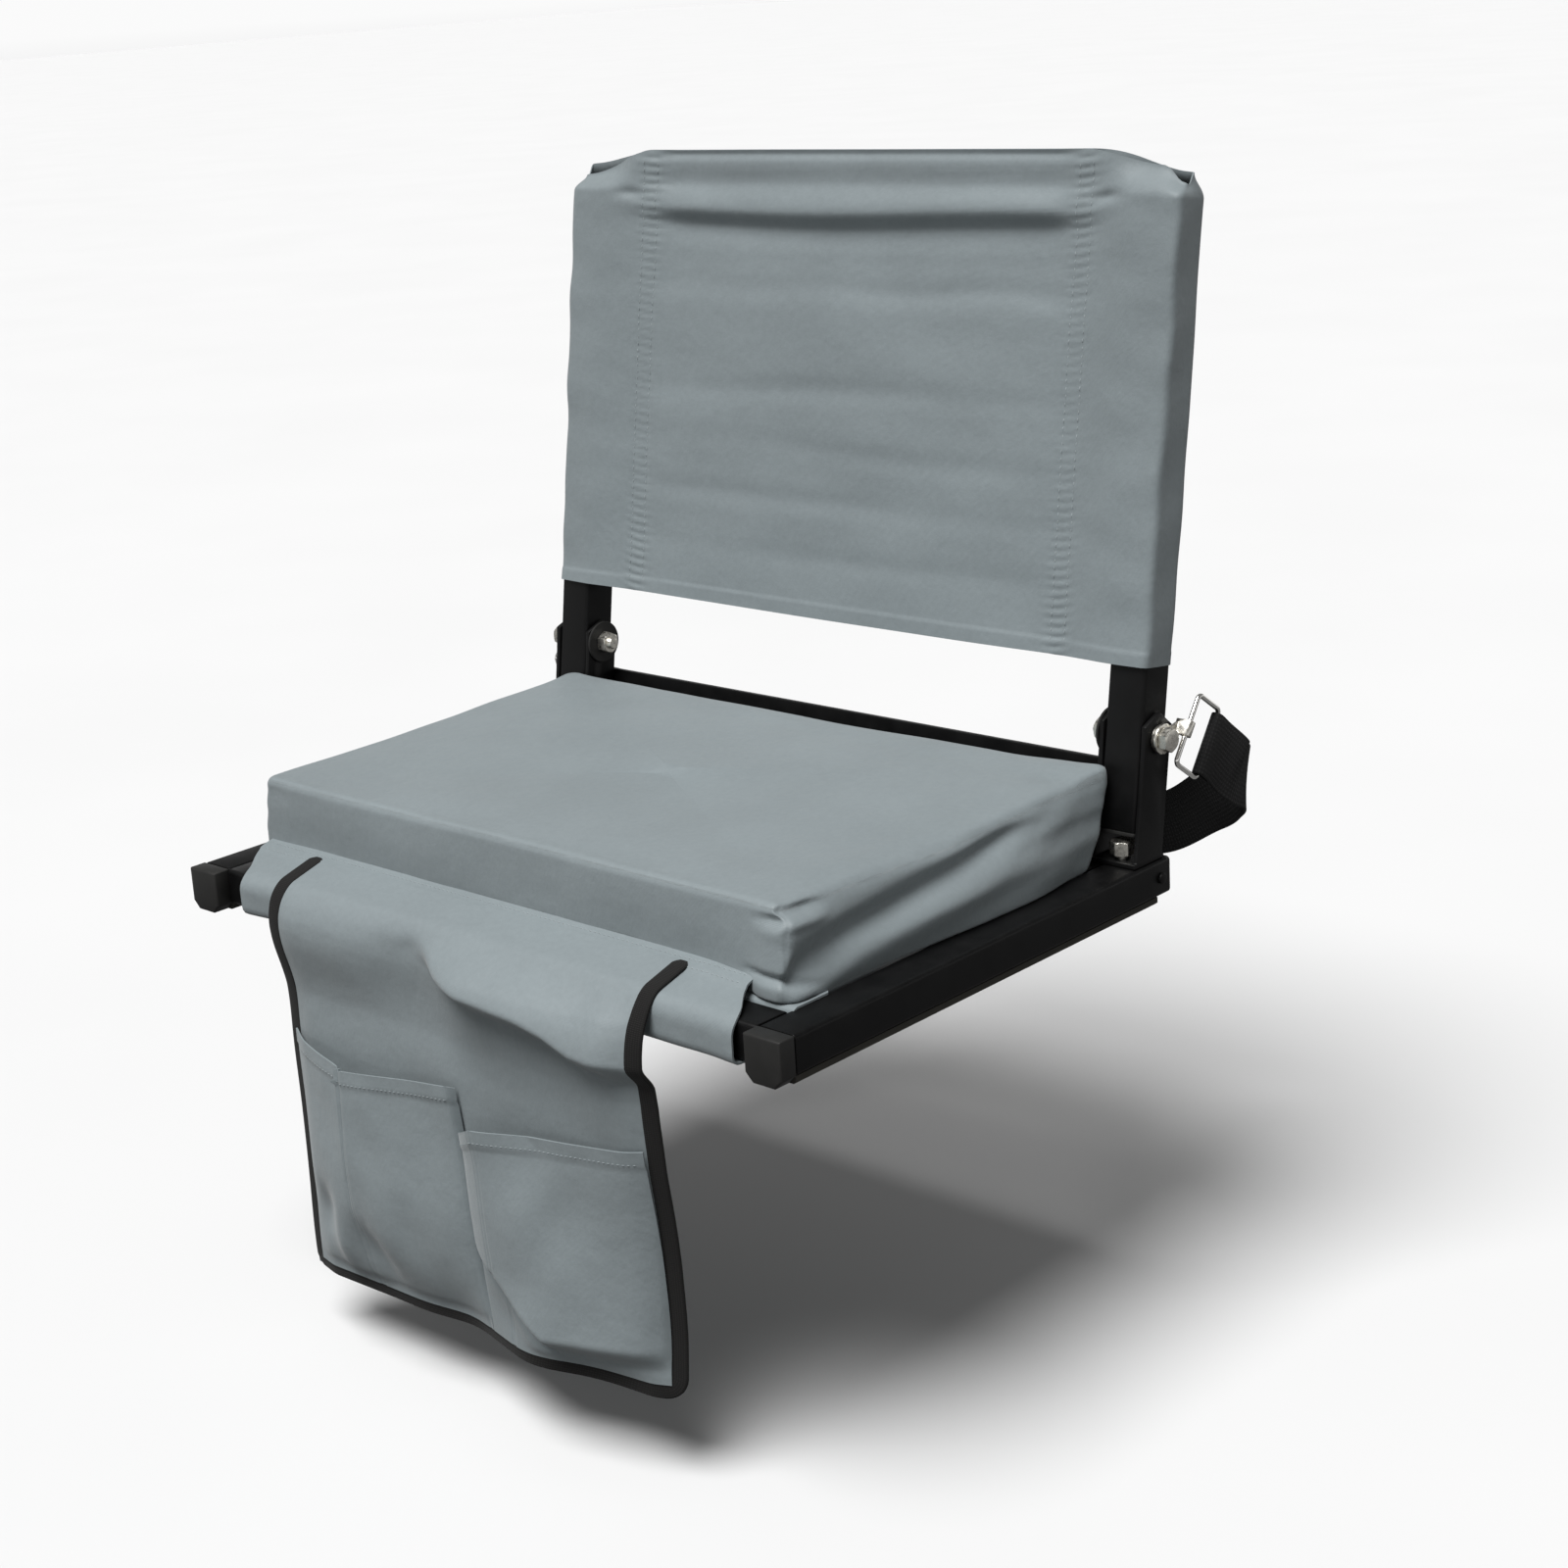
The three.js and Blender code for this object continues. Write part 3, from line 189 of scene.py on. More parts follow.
def rounded_rectangle(half_a: float, half_b: float, radius: float, steps: int = 5) -> Array:
    """Closed outline of a rectangle with quarter-circle corners, counter-clockwise.

    Args:
        half_a: Half of the first side.
        half_b: Half of the second side.
        radius: Corner radius.
        steps: Steps of each corner.

    Returns:
        Points of the outline, two columns.
    """
    radius = max(min(radius, half_a, half_b), 0.01)
    angle = np.linspace(0, np.pi / 2, steps + 1)
    quarter = np.stack([np.cos(angle), np.sin(angle)], -1) * radius
    out = []
    for turn, (sa, sb) in enumerate([(1, 1), (-1, 1), (-1, -1), (1, -1)]):
        c, s = math.cos(turn * math.pi / 2), math.sin(turn * math.pi / 2)
        turned = quarter @ np.array([[c, s], [-s, c]])
        out.append(turned + [sa * (half_a - radius), sb * (half_b - radius)])
    return np.concatenate(out)


def curve_through(stops: Array, count: int) -> tuple[Array, Array, Array]:
    """A centripetal Catmull-Rom curve through some stops, with tangents from the distances' roots.

    Args:
        stops: Points that the curve passes through.
        count: Points of the curve.

    Returns:
        The curve's points, and for each the stop before it and the share of the way to the next.
    """
    padded = np.concatenate([[2 * stops[0] - stops[1]], stops, [2 * stops[-1] - stops[-2]]])
    gap = np.maximum(np.sqrt(np.linalg.norm(np.diff(padded, axis=0), axis=1)), 1e-4)[:, None]
    where = np.linspace(0, len(stops) - 1, count)
    k = np.minimum(where.astype(int), len(stops) - 2)
    t = (where - k)[:, None]
    p0, p1, p2, p3 = padded[k], padded[k + 1], padded[k + 2], padded[k + 3]
    d0, d1, d2 = gap[k], gap[k + 1], gap[k + 2]
    m1 = ((p1 - p0) / d0 - (p2 - p0) / (d0 + d1) + (p2 - p1) / d1) * d1
    m2 = ((p2 - p1) / d1 - (p3 - p1) / (d1 + d2) + (p3 - p2) / d2) * d1
    ends = (2 * t**3 - 3 * t**2 + 1) * p1 + (t**3 - 2 * t**2 + t) * m1
    return ends + (3 * t**2 - 2 * t**3) * p2 + (t**3 - t**2) * m2, k, t


def bar_points(low: Array, high: Array, axis: int, corner: float, run: Array, inset: Array) -> Array:
    """A bar between two corners: a rounded rectangle carried along one axis, with soft ends.

    Args:
        low: Lowest corner, mm.
        high: Highest corner, mm.
        axis: Axis along which the bar runs.
        corner: Radius of its long edges, mm.
        run: Distances from an end at which a section is set, mm.
        inset: How far each of those sections is shrunk, mm.

    Returns:
        Grid of the bar: sections by points of the outline.
    """
    other = [k for k in range(3) if k != axis]
    half = (high - low)[other] / 2
    insets = np.concatenate([inset, inset[::-1]])
    outline = np.stack([rounded_rectangle(half[0] - i, half[1] - i, corner - i) for i in insets])
    points = np.zeros((*outline.shape[:2], 3))
    points[..., axis] = np.concatenate([low[axis] + run, high[axis] - run[::-1]])[:, None]
    points[..., other] = outline + (low + high)[other] / 2
    return points


# Finishes


class Nodes:
    """A node tree, filled by short calls."""

    def __init__(self, tree: bpy.types.NodeTree) -> None:
        """Takes the tree."""
        self.tree = tree

    def add(self, kind: str, given: dict | None = None, **settings: object) -> bpy.types.Node:
        """Adds a node.

        Args:
            kind: Node type without its ShaderNode prefix.
            given: Input name or index to a value or to another node's output.
            **settings: Properties of the node.

        Returns:
            The node.
        """
        node = self.tree.nodes.new("ShaderNode" + kind)
        for key, value in settings.items():
            setattr(node, key, value)
        self.feed(node, given or {})
        return node

    def feed(self, node: bpy.types.Node, given: dict) -> None:
        """Sets or links inputs of a node."""
        for key, value in given.items():
            if isinstance(value, bpy.types.NodeSocket):
                self.tree.links.new(value, node.inputs[key])
            else:
                node.inputs[key].default_value = value


class Shader(Nodes):
    """A material's node tree and its shader."""

    def __init__(self, name: str) -> None:
        """Makes the material with an empty Principled shader."""
        self.material = bpy.data.materials.new(name)
        self.material.use_nodes = True
        super().__init__(self.material.node_tree)
        self.surface = self.tree.nodes["Principled BSDF"]

    def place(self, on_cloth: bool) -> bpy.types.NodeSocket:
        """Coordinates: the cloth's own UV in metres, or the object's place."""
        return self.add("TexCoord").outputs["UV" if on_cloth else "Object"]

    def noise(self, where: bpy.types.NodeSocket, size: float, detail: float = 2) -> bpy.types.NodeSocket:
        """Cloudy noise whose blotches are about size mm across."""
        given = {"Vector": where, "Scale": 1 / (size * MM), "Detail": detail}
        return self.add("TexNoise", given).outputs["Fac"]

    def ribs(self, where: bpy.types.NodeSocket, pitch: float, way: str) -> bpy.types.NodeSocket:
        """Parallel ribs of a pitch in mm: a sine wave across way."""
        given = {"Vector": where, "Scale": 2 * math.pi / (20 * pitch * MM)}
        return self.add("TexWave", given, bands_direction=way).outputs["Fac"]

    def math(self, kind: str, a: object, b: object) -> bpy.types.NodeSocket:
        """One arithmetic step on two values."""
        return self.add("Math", {0: a, 1: b}, operation=kind).outputs[0]

    def span(self, value: bpy.types.NodeSocket, low: float, high: float) -> bpy.types.NodeSocket:
        """Spreads a noise's middle range over low to high."""
        given = {"Value": value, "From Min": 0.3, "From Max": 0.7, "To Min": low, "To Max": high}
        return self.add("MapRange", given).outputs[0]

    def colour(self, base: Point, clouds: bpy.types.NodeSocket, depth: float) -> None:
        """Colours the surface with base, lighter and darker by depth where the clouds are."""
        light = self.span(clouds, 1 - depth, 1 + depth)
        tint = self.add("HueSaturation", {"Value": light, "Color": (*base, 1)})
        self.feed(self.surface, {"Base Color": tint.outputs[0]})

    def relief(self, heights: list[tuple[bpy.types.NodeSocket, float]]) -> None:
        """Chains bumps, each a height pattern and its depth in mm."""
        normal = None
        for pattern, depth in heights:
            given = {"Height": pattern, "Distance": depth * MM, "Strength": 1.0}
            if normal is not None:
                given["Normal"] = normal
            normal = self.add("Bump", given).outputs[0]
        self.feed(self.surface, {"Normal": normal})


@dataclass(frozen=True)
class Finish:
    """A finish: its slot in the record, its colour in linear light and its gloss."""

    name: str
    slot: str
    base: Point
    roughness: float

    def material(self) -> bpy.types.Material:
        """The finish's one material, made at its first use."""
        found = bpy.data.materials.get(self.name)
        if found is None:
            shader = Shader(self.name)
            shader.feed(shader.surface, {"Roughness": self.roughness})
            self.paint(shader)
            found = shader.material
        return found

    def paint(self, shader: Shader) -> None:
        """Adds the finish's pattern and relief."""
        raise NotImplementedError


@dataclass(frozen=True)
class Canvas(Finish):
    """Coated plain-weave polyester: fine weave, faint clouds and handling creases."""

    thread: float = 0.65
    sheen: float = 0.18

    def paint(self, shader: Shader) -> None:
        """Weave on the cloth's own coordinates, clouds and creases on the object's."""
        cloth, place = shader.place(True), shader.place(False)
        fine, broad = shader.noise(place, 3.5, 3), shader.noise(place, 70)
        mix = shader.math("ADD", shader.math("MULTIPLY", fine, 0.45), shader.math("MULTIPLY", broad, 0.55))
        shader.colour(self.base, mix, 0.07)
        weave = shader.math("ADD", shader.ribs(cloth, self.thread, "X"), shader.ribs(cloth, self.thread, "Y"))
        creases = shader.noise(place, 16, 4)
        shader.relief([(creases, 0.7), (shader.noise(place, 1.6), 0.06), (weave, 0.035)])
        shader.feed(shader.surface, {
            "Sheen Weight": self.sheen, "Sheen Roughness": 0.45, "Specular IOR Level": 0.32,
        })


@dataclass(frozen=True)
class Coat(Finish):
    """Satin powder coat or moulded plastic: a fine orange peel with scuffed clouds."""

    gloss: float = 0.16
    grain: float = 0.9
    depth: float = 0.03
    clouds: float = 0.25

    def paint(self, shader: Shader) -> None:
        """Fine grain, and a roughness that wanders with the scuffs."""
        place = shader.place(False)
        scuffs = shader.noise(place, 14, 4)
        shader.colour(self.base, scuffs, self.clouds)
        rough = shader.span(scuffs, self.roughness - 0.07, self.roughness + 0.07)
        shader.feed(shader.surface, {"Roughness": rough, "Specular IOR Level": self.gloss})
        shader.relief([(shader.noise(place, self.grain, 1), self.depth)])


@dataclass(frozen=True)
class Woven(Finish):
    """Narrow webbing or binding tape: ribs across, cords along, and a little fluff."""

    rib: float = 1.5
    cord: float = 2.4
    depth: float = 0.25

    def paint(self, shader: Shader) -> None:
        """Ribs and cords on the strip's own coordinates."""
        strip, place = shader.place(True), shader.place(False)
        ribs, cords = shader.ribs(strip, self.rib, "X"), shader.ribs(strip, self.cord, "Y")
        weave = shader.math("MULTIPLY", ribs, shader.math("ADD", cords, 0.35))
        shader.colour(self.base, shader.math("MULTIPLY", weave, 0.7), 0.35)
        shader.relief([(weave, self.depth), (shader.noise(place, 0.8, 3), 0.08)])
        fluff = {"Sheen Weight": 0.06, "Sheen Roughness": 0.5, "Specular IOR Level": 0.15}
        shader.feed(shader.surface, fluff)


@dataclass(frozen=True)
class Plating(Finish):
    """Bright metal: zinc plate or nickel wire with fine clouds and drawing marks."""

    clouds: float = 0.1

    def paint(self, shader: Shader) -> None:
        """Metal whose roughness wanders and that has faint marks."""
        place = shader.place(False)
        spots = shader.noise(place, 2.5, 4)
        shader.colour(self.base, spots, self.clouds)
        rough = shader.span(spots, self.roughness - 0.08, self.roughness + 0.1)
        shader.feed(shader.surface, {"Metallic": 1.0, "Roughness": rough})
        shader.relief([(shader.noise(place, 0.7, 2), 0.02)])


@dataclass(frozen=True)
class Foam(Finish):
    """Open-cell foam: small round cells."""

    cell: float = 1.4

    def paint(self, shader: Shader) -> None:
        """Cells from the distance to scattered points."""
        place = shader.place(False)
        cells = shader.add("TexVoronoi", {"Vector": place, "Scale": 1 / (self.cell * MM)}).outputs["Distance"]
        shader.colour(self.base, shader.noise(place, 9, 3), 0.08)
        shader.relief([(cells, 0.5)])


GREY_CANVAS = Canvas("grey_canvas_cloth", "grey_canvas", (0.184, 0.213, 0.223), 0.5)
SEWING_THREAD = Canvas("grey_sewing_thread", "grey_canvas", (0.28, 0.315, 0.325), 0.6, 0.3, 0.1)
POWDER_BLACK = Coat("black_powder_coat", "powder_black", (0.0042, 0.0042, 0.0043), 0.42)
BLACK_PLASTIC = Coat("black_moulded_plastic", "black_plastic", (0.019, 0.0187, 0.018), 0.5, 0.2, 0.6,
                     0.03, 0.12)
GRIP_RUBBER = Coat("olive_grip_rubber", "grip_rubber", (0.042, 0.040, 0.034), 0.8, 0.2, 0.7, 0.06, 0.15)
EDGE_TAPE = Woven("black_edge_tape", "edge_tape", (0.011, 0.0105, 0.010), 0.8, 1.1, 1.5, 0.12)
WEBBING = Woven("black_strap_webbing", "black_webbing", (0.0125, 0.0125, 0.0125), 0.75)
ZINC = Plating("zinc_plated_steel", "zinc_steel", (0.76, 0.735, 0.67), 0.3)
BRIGHT_WIRE = Plating("bright_ring_wire", "bright_wire", (0.9, 0.885, 0.85), 0.16, 0.05)
SEAT_FOAM = Foam("open_cell_foam", "seat_foam", (0.66, 0.6, 0.42), 0.95)
FINISHES = {
    finish.slot: finish
    for finish in (GREY_CANVAS, POWDER_BLACK, BLACK_PLASTIC, GRIP_RUBBER, EDGE_TAPE, WEBBING,
                   ZINC, BRIGHT_WIRE, SEAT_FOAM)
}


# Making pieces


class Sketch:
    """Collects patches of points and faces, and turns them into one mesh piece."""

    def __init__(self) -> None:
        """Starts with nothing."""
        self.points: list[Array] = []
        self.faces: list[Array] = []
        self.textures: list[Array] = []
        self.count = 0

    def grid(self, points: Array, ring: bool = False, loop: bool = False, capped: bool = False,
             flat: Array | None = None) -> None:
        """Adds a grid of points as a smooth patch.

        A patch that closes on itself is turned so that its faces point outwards, by the sign of
        its volume.

        Args:
            points: Rows by columns by 3, mm.
            ring: Each row closes on itself.
            loop: The last row joins the first.
            capped: A fan closes the first and the last row.
            flat: Texture places, rows by columns by 2, mm; by default the distances along the
                middle row and the middle column.
        """
        rows, columns = points.shape[:2]
        r, c = np.meshgrid(np.arange(rows - 1 + loop), np.arange(columns - 1 + ring), indexing="ij")
        down = np.stack([r, r, r + 1, r + 1], -1).reshape(-1, 4)
        over = np.stack([c, c + 1, c + 1, c], -1).reshape(-1, 4)
        quads = (down % rows) * columns + over % columns
        if flat is None:
            across = np.concatenate([points[rows // 2], points[rows // 2, :1]])
            along = np.concatenate([points[:, columns // 2], points[:1, columns // 2]])
            flat = np.stack(np.meshgrid(lengths(across), lengths(along)), -1)
        faces, textures = [quads], [flat[down, over]]
        all_points = points.reshape(-1, 3)
        if capped:
            ends = np.stack([points[0].mean(0), points[-1].mean(0)])
            all_points = np.concatenate([all_points, ends])
            here = np.arange(columns)
            after, top = (here + 1) % columns, (rows - 1) * columns
            first = np.stack([after, here, np.full(columns, rows * columns)], -1)
            last = np.stack([top + here, top + after, np.full(columns, rows * columns + 1)], -1)
            faces.append(np.concatenate([first, last]))
            textures.append(all_points[faces[1]][..., [0, 2]])
        if ring and (capped or loop):
            volume = 0.0
            for face in faces:
                for k in range(1, face.shape[1] - 1):
                    first, second, third = (all_points[face[:, j]] for j in (0, k, k + 1))
                    volume += (first * np.cross(second, third)).sum()
            if volume < 0:
                faces = [f[:, ::-1] for f in faces]
                textures = [t[:, ::-1] for t in textures]
        self.points.append(all_points)
        self.faces.extend(face + self.count for face in faces)
        self.textures.extend(textures)
        self.count += len(all_points)

    def sweep(self, path: Array, sideways: Array, facing: Array, outline: Array, loop: bool = False,
              flat: Array | None = None) -> None:
        """Carries a closed outline along a path.

        Each station is path + a · sideways + b · facing for the outline's points (a, b).

        Args:
            path: Stations, mm.
            sideways: Unit vector of the outline's first coordinate at each station.
            facing: Unit vector of its second coordinate at each station.
            outline: Outline points, the same at each station or one set for each.
            loop: The path closes on itself.
            flat: Texture places, as for grid.
        """
        shape = np.broadcast_to(outline, (len(path), *outline.shape[-2:]))
        points = path[:, None] + shape[..., :1] * sideways[:, None] + shape[..., 1:] * facing[:, None]
        self.grid(points, ring=True, loop=loop, capped=not loop, flat=flat)

    def strip(self, path: Array, sideways: Array, facing: Array, outline: Array,
              taper: float | Array = 1.0) -> None:
        """Carries a strip's outline along a path; its texture places run along it and around it.

        Args:
            path: Stations, mm.
            sideways: Unit vector across the strip at each station.
            facing: Unit vector out of the strip's face at each station.
            outline: Outline points.
            taper: Scale of the outline at each station.
        """
        around = lengths(np.concatenate([outline, outline[:1]]))
        flat = np.stack(np.broadcast_arrays(lengths(path)[:, None], around[None]), -1)
        self.sweep(path, sideways, facing, outline[None] * taper, flat=flat)

    def turned(self, profile: Array, way: Way, centre: tuple[float, float], columns: int = 40) -> None:
        """Adds a solid of revolution.

        Args:
            profile: Places along the axis and radii, mm.
            way: Direction of the axis.
            centre: Place of the axis in the other two coordinates.
            columns: Steps round the axis.
        """
        angle = np.linspace(0, 2 * np.pi, columns, endpoint=False)
        along, radius = profile[:, :1], profile[:, 1:]
        self.about(way, centre, along, radius * np.cos(angle), radius * np.sin(angle))

    def about(self, way: Way, centre: tuple[float, float], along: Array, a: Array, b: Array) -> None:
        """Adds a closed surface about an axis, from its place along it and its two offsets.

        Args:
            way: Direction of the axis.
            centre: Place of the axis in the other two coordinates.
            along: Place of each row along the axis, mm.
            a: Offsets in the first of the other coordinates, mm.
            b: Offsets in the second, mm.
        """
        points = np.zeros((*a.shape, 3))
        first, second, axis = way.value
        points[..., axis] = along
        points[..., first] = centre[0] + a
        points[..., second] = centre[1] + b
        self.grid(points, ring=True, capped=True)

    def build(self, name: str, sharp: float = 38) -> bpy.types.Object:
        """Makes the piece.

        Args:
            name: Name of the piece.
            sharp: Angle from which an edge is shown crisp, degrees.

        Returns:
            The mesh object, at the origin.
        """
        mesh = bpy.data.meshes.new(name)
        faces = [corner for group in self.faces for corner in group.tolist()]
        mesh.from_pydata((np.concatenate(self.points) * MM).tolist(), [], faces)
        layer = mesh.uv_layers.new(name="UVMap")
        places = np.concatenate([group.reshape(-1, 2) for group in self.textures]) * MM
        layer.data.foreach_set("uv", places.ravel())
        mesh.shade_smooth()
        mesh.set_sharp_from_angle(angle=math.radians(sharp))
        piece = bpy.data.objects.new(name, mesh)
        bpy.context.scene.collection.objects.link(piece)
        return piece


def grid_piece(name: str, points: Array, sharp: float = 38, **how: object) -> bpy.types.Object:
    """A piece of one grid of points; how is what Sketch.grid takes.

    Args:
        name: Name of the piece.
        points: Rows by columns by 3, mm.
        sharp: Angle from which an edge is shown crisp, degrees.
        **how: What Sketch.grid takes besides the points.

    Returns:
        The mesh object, at the origin.
    """
    sketch = Sketch()
    sketch.grid(points, **how)
    return sketch.build(name, sharp)


def settle(piece: bpy.types.Object) -> None:
    """Turns a piece's modifiers into plain mesh."""
    depsgraph = bpy.context.evaluated_depsgraph_get()
    mesh = bpy.data.meshes.new_from_object(piece.evaluated_get(depsgraph))
    mesh.name = piece.name
    piece.modifiers.clear()
    piece.data = mesh


def thickened(piece: bpy.types.Object, thickness: float) -> bpy.types.Object:
    """Gives a sheet its thickness, in mm, half on each side.

    Args:
        piece: The sheet.
        thickness: Thickness, mm.

    Returns:
        The same piece, as plain mesh.
    """
    wall = piece.modifiers.new("thickness", "SOLIDIFY")
    wall.thickness, wall.offset, wall.use_even_offset = thickness * MM, 0.0, True
    wall.thickness_clamp = 1.2
    settle(piece)
    piece.data.set_sharp_from_angle(angle=math.radians(60))
    return piece


def dress(piece: bpy.types.Object, finish: Finish, body: Body | None,
          replaced: tuple[str, ...] = ()) -> bpy.types.Object:
    """Gives a piece its finish and its body, and hides the CAD nodes that it stands for.

    Args:
        piece: The piece.
        finish: Its finish.
        body: The body that it rides on, or None to leave it on no body.
        replaced: Names of CAD nodes.

    Returns:
        The piece.
    """
    piece.data.materials.clear()
    piece.data.materials.append(finish.material())
    if body is not None:
        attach(piece, body.value)
    if replaced:
        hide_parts(*replaced)
    log.info("%s: %d faces, %s", piece.name, len(piece.data.polygons), finish.name)
    return piece


def refined(node: str, finish: Finish, body: Body, width: float = 0.5, segments: int = 2) -> bpy.types.Object:
    """A copy of a CAD node with its flat faces merged and its edges rounded, in the node's place.

    Args:
        node: Name of the CAD node.
        finish: Finish of the piece.
        body: Body that the node belongs to.
        width: Width of the rounded edges, mm.
        segments: Steps across a rounded edge.

    Returns:
        The piece, which replaces the node.
    """
    mesh = frame["nodes"][node].data.copy()
    mesh.materials.clear()
    shape = bmesh.new()
    shape.from_mesh(mesh)
    bmesh.ops.remove_doubles(shape, verts=shape.verts, dist=1e-6)
    bmesh.ops.dissolve_limit(shape, angle_limit=math.radians(0.6), verts=shape.verts, edges=shape.edges)
    shape.to_mesh(mesh)
    shape.free()
    piece = bpy.data.objects.new(node + "_finished", mesh)
    bpy.context.scene.collection.objects.link(piece)
    bevel = piece.modifiers.new("edges", "BEVEL")
    bevel.width, bevel.segments, bevel.limit_method = width * MM, segments, "ANGLE"
    bevel.angle_limit = math.radians(32)
    settle(piece)
    piece.data.shade_smooth()
    piece.data.set_sharp_from_angle(angle=math.radians(34))
    return dress(piece, finish, body, (node,))


def stitched(name: str, runs: list[tuple[Array, Array]], pitch: float, length: float, body: Body,
             width: float = 0.55) -> bpy.types.Object:
    """Rows of thread stitches that lie on a cloth.

    Each stitch is a low spindle of four sides: its half width and its height follow the sine of
    the share of its length, and its ends dip into the cloth.

    Args:
        name: Name of the piece.
        runs: For each row, its points and the cloth's outward normal.
        pitch: Distance between stitches, mm.
        length: Length of a stitch, mm.
        body: Body that the stitches ride on.
        width: Width of the thread, mm.

    Returns:
        The piece.
    """
    sketch = Sketch()
    share = np.linspace(0, 1, 5)
    bulge = np.sin(np.pi * share)
    angle = np.arange(4) * np.pi / 2 + np.pi / 4
    along = (share - 0.5) * length
    radius = width / 2 * (0.35 + 0.65 * bulge)
    lift = width * (0.75 * bulge - 0.35)
    for path, normal in runs:
        total = lengths(path)[-1]
        where = np.arange(pitch / 2, total, pitch)
        out = normal / np.linalg.norm(normal)
        heading = at_lengths(path, np.minimum(where + 0.5, total)) - at_lengths(path, where - 0.5)
        heading /= np.linalg.norm(heading, axis=1, keepdims=True)
        for middle, ahead, side in zip(at_lengths(path, where), heading, np.cross(out, heading)):
            station = middle + along[:, None] * ahead + lift[:, None] * out
            ring = radius[:, None, None] * (np.cos(angle)[:, None] * side + np.sin(angle)[:, None] * out)
            sketch.grid(station[:, None] + ring, ring=True, capped=True)
    return dress(sketch.build(name, 80), SEWING_THREAD, body)


# Frame


@dataclass
class RailFrame:
    """Two rails with grips, moulded caps and plugs, and the two cross bars between them."""

    corner: float = 2.5
    edge: float = 0.4
    straight: float = 20.0
    cap_edge: float = 1.3
    rib_pitch: float = 3.6
    rib_depth: float = 0.7
    rim_height: float = 1.2
    rim_width: float = 1.8

    def bar(self, node: str, axis: int) -> bpy.types.Object:
        """A square tube with rounded corners between its node's corners.

        The section is a rounded rectangle; near each end it shrinks by edge along a quarter
        circle, so the cut end has a soft rim.

        Args:
            node: Name of the CAD node.
            axis: Axis along which the tube runs, 0 or 1.

        Returns:
            The piece, which replaces the node.
        """
        low, high = (np.array(corner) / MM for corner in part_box(node))
        turn = np.linspace(0, np.pi / 2, 4)
        run = np.append(self.edge * (1 - np.cos(turn)), self.straight)
        inset = np.append(self.edge * (1 - np.sin(turn)), 0.0)
        points = bar_points(low, high, axis, self.corner, run, inset)
        piece = grid_piece(node + "_tube", points, ring=True, capped=True)
        return dress(piece, POWDER_BLACK, Body.SEAT, (node,))

    def grip(self, node: str) -> bpy.types.Object:
        """A rubber strip under a rail, with ribs along its underside.

        The underside's height is a cosine wave of rib_depth across the strip.

        Args:
            node: Name of the CAD node.

        Returns:
            The piece, which replaces the node.
        """
        low, high = (np.array(corner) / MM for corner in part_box(node))
        half, middle = (high[0] - low[0]) / 2, (high[0] + low[0]) / 2
        across = np.linspace(-half, half, 61)
        wave = self.rib_depth / 2 * (1 - np.cos(2 * np.pi * across / self.rib_pitch))
        rim = self.rim_height * ease(np.abs(across), half - self.rim_width, half)
        under = np.stack([across, low[2] + np.maximum(wave * (np.abs(across) < half - 2), rim)], -1)
        top = np.array([[half, high[2]], [-half, high[2]]])
        outline = np.concatenate([under, top])
        stations = np.linspace(low[1], high[1], 12)
        points = np.zeros((len(stations), len(outline), 3))
        points[..., 0] = middle + outline[:, 0]
        points[..., 1] = stations[:, None]
        points[..., 2] = outline[:, 1]
        piece = grid_piece(node + "_ribbed", points, ring=True, capped=True)
        return dress(piece, GRIP_RUBBER, Body.SEAT, (node,))

    def build(self) -> None:
        """Builds the whole rail frame."""
        for side in ("left", "right"):
            self.bar(f"{side}_rail", 1)
            self.grip(f"{side}_grip_strip")
            refined(f"{side}_rail_front_cap", BLACK_PLASTIC, Body.SEAT, self.cap_edge, 3)
            refined(f"{side}_rail_rear_plug", BLACK_PLASTIC, Body.SEAT, 0.5)
            refined(f"{side}_plug_rivet", POWDER_BLACK, Body.SEAT, 0.4)
        self.bar("front_bar", 0)
        self.bar("rear_bar", 0)


# Sling


